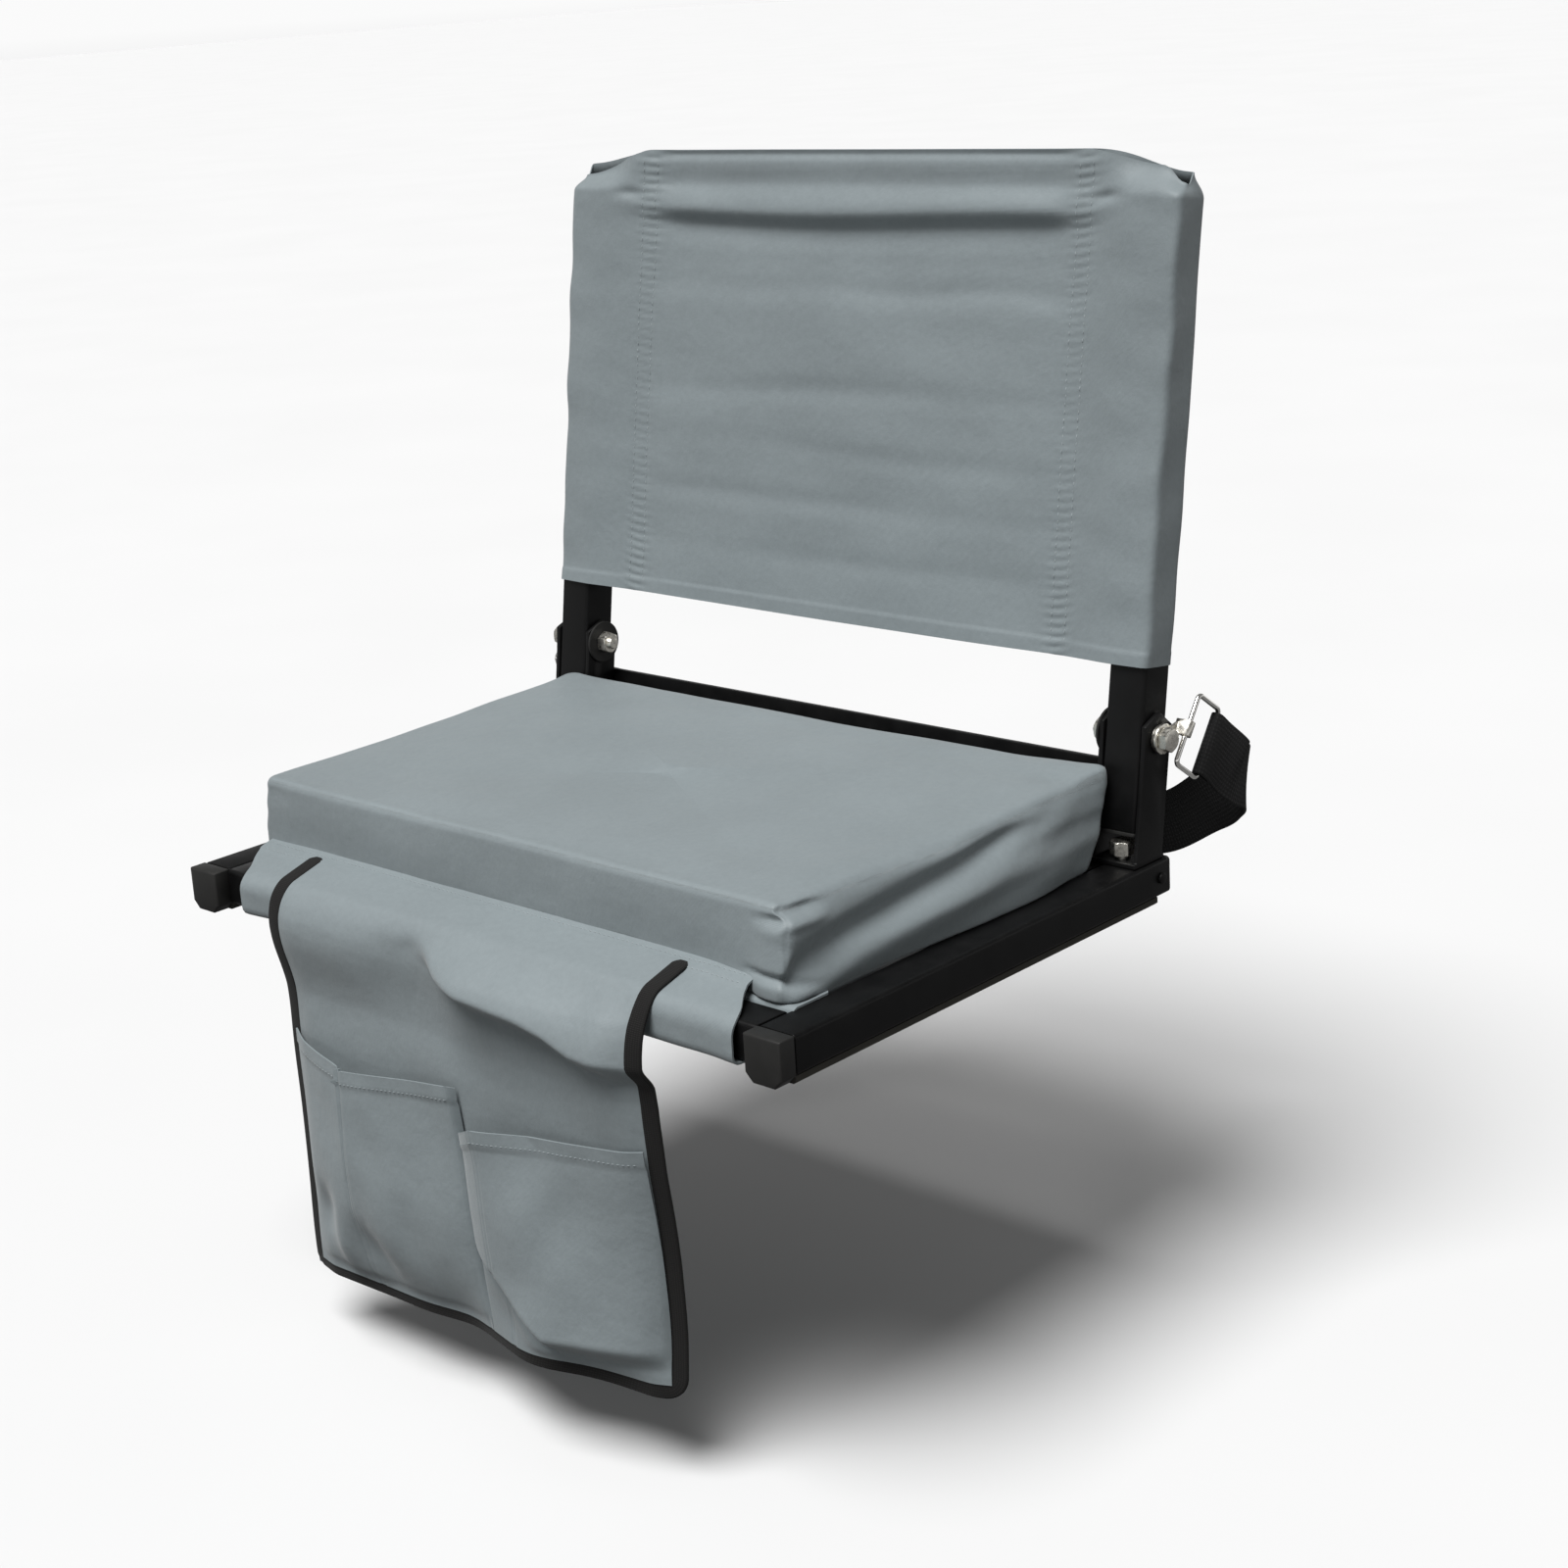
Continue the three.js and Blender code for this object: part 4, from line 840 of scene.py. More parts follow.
@dataclass
class SeatSling:
    """One canvas sheet: a hemmed flap, a loop round the front bar, the seat ply and a rear loop."""

    left: float = -199.5
    right: float = 209.0
    thickness: float = 1.2
    hem: tuple[float, float] = (-125.4, 37.7)
    front: tuple[float, float, float, float] = (-164.2, -134.1, 3.7, 27.0)
    ply: float = 27.9
    rear: tuple[float, float] = (119.1, 145.9)
    corner: float = 2.6
    hem_skew: float = 16.0
    tongue: float = 14.0
    lean: tuple[float, float] = (-0.27, 0.96)
    stitch_drops: tuple[float, float] = (3.2, 9.6)
    columns: int = 200
    spacing: float = 2.2

    def route(self) -> Array:
        """Section line in Y and Z, from the hem down round the front bar and back to the rear loop.

        Returns:
            Points of the line, spacing apart.
        """
        near, far, low, high = self.front
        start, end = self.rear
        corners = [self.hem, (near, high), (near, low), (far, low + 0.4), (far, self.ply), (end, self.ply),
                   (end, low + 0.4), (start, low + 0.4), (start, self.ply - 2.6)]
        path = filleted(corners, [11.0, 5.0] + [self.corner] * 5)
        count = int(lengths(path)[-1] / self.spacing)
        return at_lengths(path, np.linspace(0, lengths(path)[-1], count))

    def surface(self) -> Array:
        """Grid of the sheet.

        The section line is carried along X. The flap's rows slide to the left towards the hem,
        the two raw edges curve with it, the last strip at the left end bows out from the bar, and
        the hem's double layer stands half a layer proud along lean, the flap's normal in Y and Z.
        Behind the front bar a tongue closes the gap between the right edge and the rail.

        Returns:
            Rows along the section by columns along X.
        """
        route = self.route()
        s = lengths(route)[:, None]
        share = np.linspace(0, 1, self.columns)[None]
        flap = 1 - ease(s, 8, 40)
        front = ease(s, 26, 42) * (1 - ease(s, 64, 74))
        left = self.left - self.hem_skew * flap + 1.6 * ease(s, 50, 70)
        right = self.right - self.hem_skew * flap - 1.0 * front
        right = right + self.tongue * ease(s, 100, 108) * (1 - ease(s, 137, 146))
        x = left + (right - left) * share
        y, z = np.broadcast_to(route[:, :1], x.shape).copy(), np.broadcast_to(route[:, 1:], x.shape).copy()
        ends = np.exp(-((x - left) / 16) ** 2)
        y -= front * (2.2 * ends + 0.7 * np.exp(-((x - right) / 12) ** 2) + 0.25 * ripple(x, s, 5, 46))
        hem_layer = (1 - ease(s, 11, 12.2)) * 0.7
        wave = 0.5 * ripple(x, s * 2, 11, 60) * (1 - ease(s, 20, 30)) * ease(s, 0, 8)
        wave = wave * ease(np.abs(x + 7), 160, 172)
        y += self.lean[0] * (hem_layer + wave)
        z += self.lean[1] * (hem_layer + wave)
        return np.stack([x, y, z], -1)

    def build(self) -> None:
        """Builds the sheet and the two rows of stitches along its hem."""
        points = self.surface()
        piece = thickened(grid_piece("sling_canvas", points, 50), self.thickness)
        dress(piece, GREY_CANVAS, Body.SEAT, ("seat_sling",))
        s = lengths(self.route())
        normal = np.array([0.0, *self.lean])
        rows = [points[int(np.searchsorted(s, drop))][2:-2] for drop in self.stitch_drops]
        rows = [(row + normal * (self.thickness / 2), normal) for row in rows]
        stitches = stitched("sling_hem_stitches", rows, 3.6, 2.6, Body.SEAT)


# Cushion


@dataclass
class BoxCushion:
    """A foam block in a box cover: crisp front edge, soft right edge and folded corners."""

    front: float = -122.5
    foot: float = 28.9
    depth_foot: float = 258.0
    depth_top: float = 262.5
    front_half: float = 219.0
    rear_half: float = 223.0
    front_top: float = 78.0
    rear_top: float = 82.0
    bulge: float = 8.0
    draw_in: float = 3.0
    crown: float = 2.2
    pressure: float = 0.15
    stiffness: float = 60.0
    frames: int = 20
    cap: float = 3.0
    corner: float = 7.0
    foot_edge: float = 1.6
    edge_radii: tuple[float, ...] = (9.0, 6.0, 5.0, 4.6, 9.0)
    base_shares: tuple[float, ...] = (0.04, 0.35, 0.7, 0.92, 0.945, 0.962, 0.975, 0.985)
    side_steps: int = 74
    corner_steps: int = 10

    def marks(self) -> tuple[Array, Array, Array]:
        """Stations round the outline: the side's turn, the place along it and the corner's bend.

        Returns:
            For each station the turn of its side in radians, the place along the side from -1 to 1,
            and the share of the corner that it has gone round.
        """
        turn, along, bend = [], [], []
        for side in range(4):
            flat = np.linspace(-1, 1, self.side_steps)
            round_ = np.arange(1, self.corner_steps) / self.corner_steps
            turn.append(np.full(self.side_steps + self.corner_steps - 1, side * np.pi / 2))
            along.append(np.concatenate([flat, np.ones(self.corner_steps - 1)]))
            bend.append(np.concatenate([np.zeros(self.side_steps), round_]))
        return np.concatenate(turn), np.concatenate(along), np.concatenate(bend)

    def edge_radius(self, turn: Array, bend: Array) -> Array:
        """Radius of the top edge: edge_radii from the right side by the rear, blended at corners.

        Args:
            turn: Turn of each station's side, radians.
            bend: Share of the corner that each station has gone round.

        Returns:
            The radius at each station, mm.
        """
        radii = np.array(self.edge_radii)
        side = np.rint(turn / (np.pi / 2)).astype(int)
        return radii[side] + (radii[side + 1] - radii[side]) * ease(bend, 0.0, 1.0)

    def ring(self, marks: tuple[Array, Array, Array], inset: Array, height: Array, shrink: float = 1.0,
             lift: float = 0.0) -> Array:
        """One ring of the cover.

        The outline is a rounded rectangle whose sides are drawn in between the corners; it widens
        to the rear, bulges low on the left and right, and its top slopes from front to rear.

        Args:
            marks: Stations from marks.
            inset: Distance inside the side's plane, mm.
            height: Share of the height, 0 at the foot and 1 at the top.
            shrink: Share by which the ring is drawn to the middle.
            lift: Rise above the top plane, mm.

        Returns:
            Points of the ring.
        """
        turn, along, bend = marks
        sideways = np.abs(np.sin(turn)) > 0.7
        depth = self.depth_foot + (self.depth_top - self.depth_foot) * height
        half_x, half_y = self.rear_half - inset, depth / 2 - inset
        run_half = np.where(sideways, half_x, half_y) - self.corner
        out_half = np.where(sideways, half_y, half_x)
        pull = self.draw_in * (1 - along**2) * np.where(sideways, 0.45, 0.8)
        angle = bend * np.pi / 2
        out = out_half - self.corner + self.corner * np.cos(angle) - pull
        run = along * run_half + self.corner * np.sin(angle)
        a = out * np.cos(turn) - run * np.sin(turn)
        b = out * np.sin(turn) + run * np.cos(turn)
        back = (b / (depth / 2) + 1) / 2
        narrowing = self.front_half / self.rear_half * (1 - back) + back
        swelling = swell(height, [0, 0.12, 0.3, 0.62, 0.93, 1.0], [0.95, 1, 0.97, 0.5, 0, 0])
        x = a * narrowing * (1 + swelling * self.bulge / self.rear_half) * shrink
        y = self.front + depth / 2 + b * shrink
        top = self.front_top + (self.rear_top - self.front_top) * back
        z = self.foot + (top - self.foot) * height + lift
        return np.stack([x, y, np.broadcast_to(z, x.shape)], -1)

    def surface(self) -> Array:
        """Grid of the cover: the base, the foot's edge, the sides, the top edge and the top."""
        marks = self.marks()
        rho = self.edge_radius(marks[0], marks[2])
        none, full, tall = np.zeros_like(rho), np.ones_like(rho), self.front_top - self.foot
        rings = [self.ring(marks, full * self.foot_edge, none, share) for share in self.base_shares]
        for phi in np.linspace(0, np.pi / 2, 6):
            inset, height = self.foot_edge * (1 - np.sin(phi)), self.foot_edge * (1 - np.cos(phi)) / tall
            rings.append(self.ring(marks, full * inset, full * height))
        start, end = self.foot_edge / tall, 1 - rho / tall
        for share in np.linspace(0, 1, 26)[1:-1]:
            rings.append(self.ring(marks, none, start + (end - start) * share))
        for phi in np.linspace(0, np.pi / 2, 9):
            rings.append(self.ring(marks, rho * (1 - np.cos(phi)), end + rho * np.sin(phi) / tall))
        for share in 1 - np.linspace(0, 1, 46)[1:-1] ** 1.15:
            lift = self.crown * (1 - share**2) * (1 + 0.4 * share)
            rings.append(self.ring(marks, rho, full, share, lift))
        points = np.stack(rings)
        return self.shaped(points + self.swollen(points), marks[2])

    def swollen(self, points: Array) -> Array:
        """How far pressure moves the cover as cloth, from a simulation on a coarser copy of its grid.

        The copy keeps every fourth column, every third ring up to the top edge's last, and every
        sixth on the top. Its moves are capped, evened out near the top's middle, spread back over
        the full grid by straight interpolation and smoothed.

        Args:
            points: Grid of the plain cover.
        """
        rows, columns = points.shape[:2]
        last = len(self.base_shares) + 6 + 24 + 8
        kept = np.unique(np.concatenate([np.arange(0, last, 3), np.arange(last, rows, 6), [rows - 1]]))
        coarse = points[kept, ::4]
        trial = grid_piece("cushion_trial", coarse, ring=True, capped=True)
        cloth = trial.modifiers.new("cloth", "CLOTH")
        settings = cloth.settings
        settings.use_pressure, settings.uniform_pressure_force = True, self.pressure
        settings.effector_weights.gravity = 0.0
        settings.quality, settings.mass, settings.bending_stiffness = 6, 0.3, 0.5
        settings.tension_stiffness = settings.compression_stiffness = self.stiffness
        settings.shear_stiffness = 20.0
        cloth.point_cache.frame_start, cloth.point_cache.frame_end = 1, self.frames
        for frame_number in range(1, self.frames + 1):
            bpy.context.scene.frame_set(frame_number)
        settle(trial)
        place = np.empty(len(trial.data.vertices) * 3)
        trial.data.vertices.foreach_get("co", place)
        bpy.data.objects.remove(trial)
        bpy.context.scene.frame_set(1)
        move = place[:coarse.size].reshape(coarse.shape) / MM - coarse
        size = np.linalg.norm(move, axis=-1, keepdims=True)
        log.info("cushion swells by %.2f mm", size.mean())
        move = move / (1 + size / self.cap)
        middle = ease(np.arange(len(kept)), len(kept) - 9, len(kept) - 3)[:, None, None]
        move = move * (1 - middle) + move[-9].mean(0) * middle
        around = np.arange(columns) / 4
        k, share = around.astype(int), (around % 1)[None, :, None]
        looped = np.concatenate([move, move[:, :1]], 1)
        wide = looped[:, k] * (1 - share) + looped[:, k + 1] * share
        at = np.interp(np.arange(rows), kept, np.arange(len(kept)))
        k = np.minimum(at.astype(int), len(kept) - 2)
        share = (at - k)[:, None, None]
        wide = wide[k] * (1 - share) + wide[k + 1] * share
        for _ in range(12):
            wide[1:-1] = (wide[:-2] + 2 * wide[1:-1] + wide[2:]) / 4
            wide = (np.roll(wide, 1, 1) + 2 * wide + np.roll(wide, -1, 1)) / 4
        return wide * ease(points[..., 2:] - self.foot, 1, 14)

    def shaped(self, points: Array, bend: Array) -> Array:
        """Folds and seams of the cover, moved along outward directions that suit each face.

        The right side has a groove that climbs to the rear with a ridge under it, two faint
        creases behind, and a dog-ear with its slot at the front corner, whose other face has a
        dent and a tucked flap. Each upright corner has a seam, a narrow groove; the rear edge and
        its corners rise. Last, the corners are drawn in towards the photographed outline.

        Args:
            points: Grid of the plain cover.
            bend: Bend of each column, for the seams.

        Returns:
            The shaped grid.
        """
        x, y, z = points[..., 0].copy(), points[..., 1].copy(), points[..., 2].copy()
        rise = (z - self.foot) / (self.front_top - self.foot)
        low = 1 - np.clip(rise, 0, 1)
        wall = ease(rise, 0.04, 0.2) * (1 - ease(rise, 0.93, 1.03))
        right, left = ease(x, 190, 216), ease(-x, 190, 216)
        front = 1 - ease(y, -121, -112)
        ahead, behind = np.clip((20 - y) / 142, 0, 1), np.clip((y - 20) / 118, 0, 1)
        to_right, to_left = np.clip(x / 219, 0, 1), np.clip(-x / 219, 0, 1)
        line = np.interp(y, [-124, -110, -78, -53, -21, 11, 50, 110], [40, 46, 53, 56, 60, 63, 68, 73])
        length = ease(y, -124, -115) * (1 - ease(y, 40, 85))
        groove = -6.8 * hump(z, line, 8.5 - 2.5 * ease(y, -80, 20)) * length
        ridge = 2.6 * hump(z, line - 15, 8) * length
        second = -0.9 * hump(z - 52 - 0.52 * (y - 45), 0, 6.0) * hump(y, 68, 24)
        third = 0.6 * hump(z - 58 - 0.5 * (y - 80), 0, 7.0) * hump(y, 95, 22)
        crease = -4.4 * hump(z, 74.6 - 0.06 * (y + 122), 2.7) * ease(y, -124, -120) * (1 - ease(y, -106, -84))
        ear = 2.8 * hump(z, 68.6 - 0.05 * (y + 122), 3.6) * (1 - ease(y, -106, -86))
        slot = 40.5 - 0.32 * np.clip(y + 122, 0, 30)
        tuck = 1.4 * hump(z, slot - 6, 4.5) * (1 - ease(y, -108, -96))
        tuck -= 3.0 * hump(z, slot, 1.9) * (1 - ease(y, -110, -98))
        folds = groove + ridge + second + third + crease + ear + tuck
        x += right * (folds + 0.5 * wall * ripple(y, z, 3, 60))
        x -= left * (0.8 * wall * ripple(y, z, 8, 70) - 2.5 * hump(z, 66, 9) * hump(y, -60, 50))
        z -= right * 2.6 * hump(rise, 1.02, 0.14) * hump(y, 10, 60)
        dent = 3.6 * hump(x, 213, 8) * hump(z, 70.5, 2.8) - 1.2 * hump(x, 213, 8) * hump(z, 64, 4)
        flap = ease(x, 190, 204) * (3.2 * hump(z, 40.5, 2.0) - 1.0 * hump(z, 35.5, 4.0))
        waves = 0.5 * wall * ripple(x, z, 14, 90) + 1.1 * wall * hump(x, -206, 9) * hump(z, 70, 8)
        y += front * (dent + flap + waves)
        y -= ease(y, 126, 134) * 0.7 * wall * ripple(x, z, 21, 80)
        z += front * 0.6 * hump(rise, 1.0, 0.05)
        top = ease(rise, 0.97, 1.02)
        rim = 0.3 + 0.7 * ease(np.abs(x), 60, 200)
        z += top * (0.55 * ripple(x, y, 31, 170) + 0.28 * ripple(x, y, 37, 75) * rim)
        z += top * 0.9 * hump(x - 0.15 * y, 205, 10) * ease(y, -110, -40)
        z += top * ease(y, 106, 130) * (1.7 - 1.0 * ease(-x, 110, 205) + 1.8 * ease(x, 150, 212))
        corner = hump(np.abs(x), 216, 9) * hump(y, 133, 9) * ease(rise, 0.7, 1.0)
        x += corner * np.where(x > 0, 3.2, -2.8)
        y += corner * 2.4
        seam = 0.5 * np.exp(-((bend[None] - 0.5) / 0.08) ** 2) * wall
        x -= seam * np.sign(x) / math.sqrt(2)
        y -= seam * np.sign(y - self.front - self.depth_foot / 2) / math.sqrt(2)
        x -= to_right * ahead * (5.5 + 4.0 * low) + to_left * ahead * (2.0 - 5.0 * low)
        x -= to_right * 8.0 * low * ease(behind, 0.3, 0.95)
        y -= ahead * (4.3 + 4.0 * low * ease(x, 140, 200)) - behind * 4.0 * (1 - low)
        y -= 12.0 * low**2 * ease(behind, 0.4, 1.0) * ease(x, 120, 215)
        y -= 4.6 * low * ease(x, 186, 204) * (1 - ease(y, -118, -100))
        sag = (1.5 + 4.6 * (1 - ease(np.abs(x), 217.8, 220.2))) * ease(y, -116, -108)
        z -= sag * ease(np.abs(x), 210.3, 212.4) * (1 - ease(rise, 0.0, 0.26))
        return np.stack([x, y, z], -1)

    def foam(self, points: Array) -> None:
        """The foam block: the plain cover's grid drawn to its middle, clear of every fold.

        Args:
            points: Grid of the cover.
        """
        middle = np.array([0.0, self.front + self.depth_foot / 2, (self.foot + self.front_top) / 2])
        block = middle + (points[::2, ::2] - middle) * [0.94, 0.92, 0.8]
        piece = grid_piece("cushion_foam_block", block, 70, ring=True, capped=True)
        dress(piece, SEAT_FOAM, Body.SEAT, ("cushion_foam",))

    def build(self) -> None:
        """Builds the cover and the foam block inside it."""
        points = self.surface()
        flat = self.laid_out(points)
        cover = grid_piece("cushion_box_cover", points, 70, ring=True, capped=True, flat=flat)
        self.foam(points)
        dress(cover, GREY_CANVAS, Body.SEAT, ("cushion_cover",))

    def laid_out(self, points: Array) -> Array:
        """Texture places: X and Y on base and top, and the distance round and Z on rings 13 to 41.

        Args:
            points: Grid of the cover.

        Returns:
            Two coordinates for each point, with the first column once more at the end, mm.
        """
        closed = np.concatenate([points, points[:, :1]], 1)
        around = np.linalg.norm(np.diff(closed, axis=1), axis=-1).cumsum(1)
        around = np.concatenate([np.zeros((len(points), 1)), around], 1)
        rows = np.arange(len(points))[:, None, None]
        return np.where((rows > 12) & (rows < 42), np.stack([around, closed[..., 2]], -1), closed[..., :2])


# Hinges


@dataclass
class HingeSet:
    """Brackets, pivots, bolts, nuts, washers and discs of both hinges."""

    flats: float = 13.0
    thread_pitch: float = 1.25
    thread_depth: float = 0.32
    shank_radius: float = 4.0
    nut_bore: float = 4.3
    washer_bore: float = 4.4
    pivot_head: tuple[float, float] = (247.9, 253.4)
    pivot_shank: tuple[float, float] = (248.0, 200.4)
    pivot_thread: float = 12.0
    pivot_nut: tuple[float, float] = (209.4, 202.9)
    washer: tuple[float, float] = (243.8, 245.3)
    washer_radius: float = 8.0
    disc: tuple[float, float] = (209.7, 211.2)
    disc_radius: float = 14.0
    bracket_bolt: tuple[float, float] = (229.5, 145.0)
    bracket_head: tuple[float, float] = (33.0, 41.2)
    bracket_shank: tuple[float, float] = (34.0, 17.2)
    bracket_thread: float = 9.0
    bracket_nut: tuple[float, float] = (25.2, 18.7)

    def hexagon(self, sketch: Sketch, way: Way, centre: tuple[float, float], start: float, end: float,
                bore: float = 0.0) -> None:
        """A hexagon head or nut whose outer end is turned to a cone.

        The radius at an angle is the lesser of the hexagon's and the cone's: flats / 2 over the
        cosine of the angle from the nearest flat, and flats / 2 · 0.955 + 1.7 · depth from the end.

        Args:
            sketch: Sketch that takes the patch.
            way: Direction of the axis.
            centre: Place of the axis.
            start: End that bears on the work.
            end: Outer end.
            bore: Any value but 0 leaves the outer end flat, as on a nut; 0 gives a low dome.
        """
        angle = np.linspace(0, 2 * np.pi, 96, endpoint=False)
        away = (angle + np.pi / 6) % (np.pi / 3) - np.pi / 6
        hexagon = self.flats / 2 / np.cos(away)
        tall = abs(end - start)
        share = np.concatenate([[0, 0.02, 0.06], np.linspace(0.1, 0.8, 6), np.linspace(0.84, 1, 7)])
        depth = (1 - share) * tall
        cone = self.flats / 2 * 0.955 + 1.7 * depth
        foot = self.flats / 2 * 1.06 + 3.0 * share * tall
        radius = np.minimum(np.minimum(hexagon[None], cone[:, None]), foot[:, None])
        inner = np.array([0.93, 0.8, 0.6, 0.4, 0.2, 0.04])
        face = inner[:, None] * radius[-1][None]
        dome = 0.55 * (1 - inner**2) if not bore else np.zeros_like(inner)
        along = start + (end - start) * np.concatenate([share, np.ones_like(inner)])
        along = along + np.sign(end - start) * np.concatenate([np.zeros_like(share), dome])
        radius = np.concatenate([radius, face])
        sketch.about(way, centre, along[:, None], radius * np.cos(angle), radius * np.sin(angle))

    def shank(self, sketch: Sketch, way: Way, centre: tuple[float, float], start: float, end: float,
              threaded: float) -> None:
        """A bolt's shank with a thread at its far end.

        The radius is shank_radius less a cosine groove that turns once for each thread pitch.

        Args:
            sketch: Sketch that takes the patch.
            way: Direction of the axis.
            centre: Place of the axis.
            start: End at the head.
            end: Far end.
            threaded: Length of the thread from the far end.
        """
        angle = np.linspace(0, 2 * np.pi, 20, endpoint=False)
        tall = abs(end - start)
        steps = max(int(threaded / self.thread_pitch * 6), 12)
        away = np.concatenate([[0.0], np.linspace(tall - threaded, tall, steps)])
        groove = self.thread_depth * (1 + np.cos(2 * np.pi * away[:, None] / self.thread_pitch - angle)) / 2
        cut = np.clip((away - (tall - threaded)) / 1.0, 0, 1)[:, None]
        tip = np.clip((tall - away) / 0.8, 0, 1)[:, None]
        radius = (self.shank_radius - groove * cut) * (0.82 + 0.18 * tip)
        along = start + (end - start) * away / tall
        sketch.about(way, centre, along[:, None], radius * np.cos(angle), radius * np.sin(angle))

    def ringed(self, sketch: Sketch, start: float, end: float, outer: float) -> None:
        """A washer or disc with soft edges about the pivot.

        Args:
            sketch: Sketch that takes the patch.
            start: Place of its inner face, mm.
            end: Place of its outer face, mm.
            outer: Its radius, mm.
        """
        soft = min(0.35, abs(end - start) / 3)
        way = np.sign(end - start)
        profile = np.array([
            [start, self.washer_bore], [start, outer - soft], [start + way * soft, outer],
            [end - way * soft, outer], [end, outer - soft], [end, self.washer_bore],
        ])
        sketch.turned(profile, Way.X, PIVOT, 56)

    def build(self) -> None:
        """Builds both hinges."""
        for name, side in (("left", -1), ("right", 1)):
            refined(f"{name}_hinge_bracket", POWDER_BLACK, Body.SEAT, 0.5)
            low = (side * self.bracket_bolt[0], self.bracket_bolt[1])
            spans = (self.pivot_head, self.pivot_shank, self.pivot_nut, self.washer, self.disc)
            head, shank, nut, washer, disc = ([side * place for place in span] for span in spans)
            parts = {
                "pivot_bolt": lambda s: (self.hexagon(s, Way.X, PIVOT, *head),
                                         self.shank(s, Way.X, PIVOT, *shank, self.pivot_thread)),
                "pivot_nut": lambda s: self.hexagon(s, Way.X, PIVOT, *nut, self.nut_bore),
                "pivot_washer": lambda s: self.ringed(s, *washer, self.washer_radius),
                "bracket_bolt": lambda s: (self.hexagon(s, Way.Z, low, *self.bracket_head),
                                           self.shank(s, Way.Z, low, *self.bracket_shank,
                                                      self.bracket_thread)),
                "bracket_nut": lambda s: self.hexagon(s, Way.Z, low, *self.bracket_nut, self.nut_bore),
            }
            for part, make in parts.items():
                sketch = Sketch()
                make(sketch)
                piece = sketch.build(f"{name}_{part}_turned", 30)
                dress(piece, ZINC, Body.SEAT, (f"{name}_{part}",))
            sketch = Sketch()
            self.ringed(sketch, *disc, self.disc_radius)
            piece = sketch.build(f"{name}_pivot_disc_turned", 30)
            dress(piece, BLACK_PLASTIC, Body.SEAT, (f"{name}_pivot_disc",))
            refined(f"{name}_strap_hook", ZINC, Body.SEAT, 0.4)


# Carry strap


@dataclass
class RingPlace:
    """A wire ring's middle and directions, from its two angles about the pivot."""

    side: int
    centre_degrees: float
    reach_degrees: float
    plane: float = 252.5
    standoff: float = 26.7

    def directions(self) -> tuple[Array, Array, Array]:
        """Middle of the ring, the direction away from the hook, and the direction across.

        Returns:
            A point in mm and two unit vectors.
        """
        a, b = math.radians(self.centre_degrees), math.radians(self.reach_degrees)
        back, up = self.standoff * math.cos(a), self.standoff * math.sin(a)
        middle = np.array([self.side * self.plane, PIVOT[0] + back, PIVOT[1] + up])
        reach = np.array([0.0, math.cos(b), math.sin(b)])
        return middle, reach, np.array([0.0, -reach[2], reach[1]])


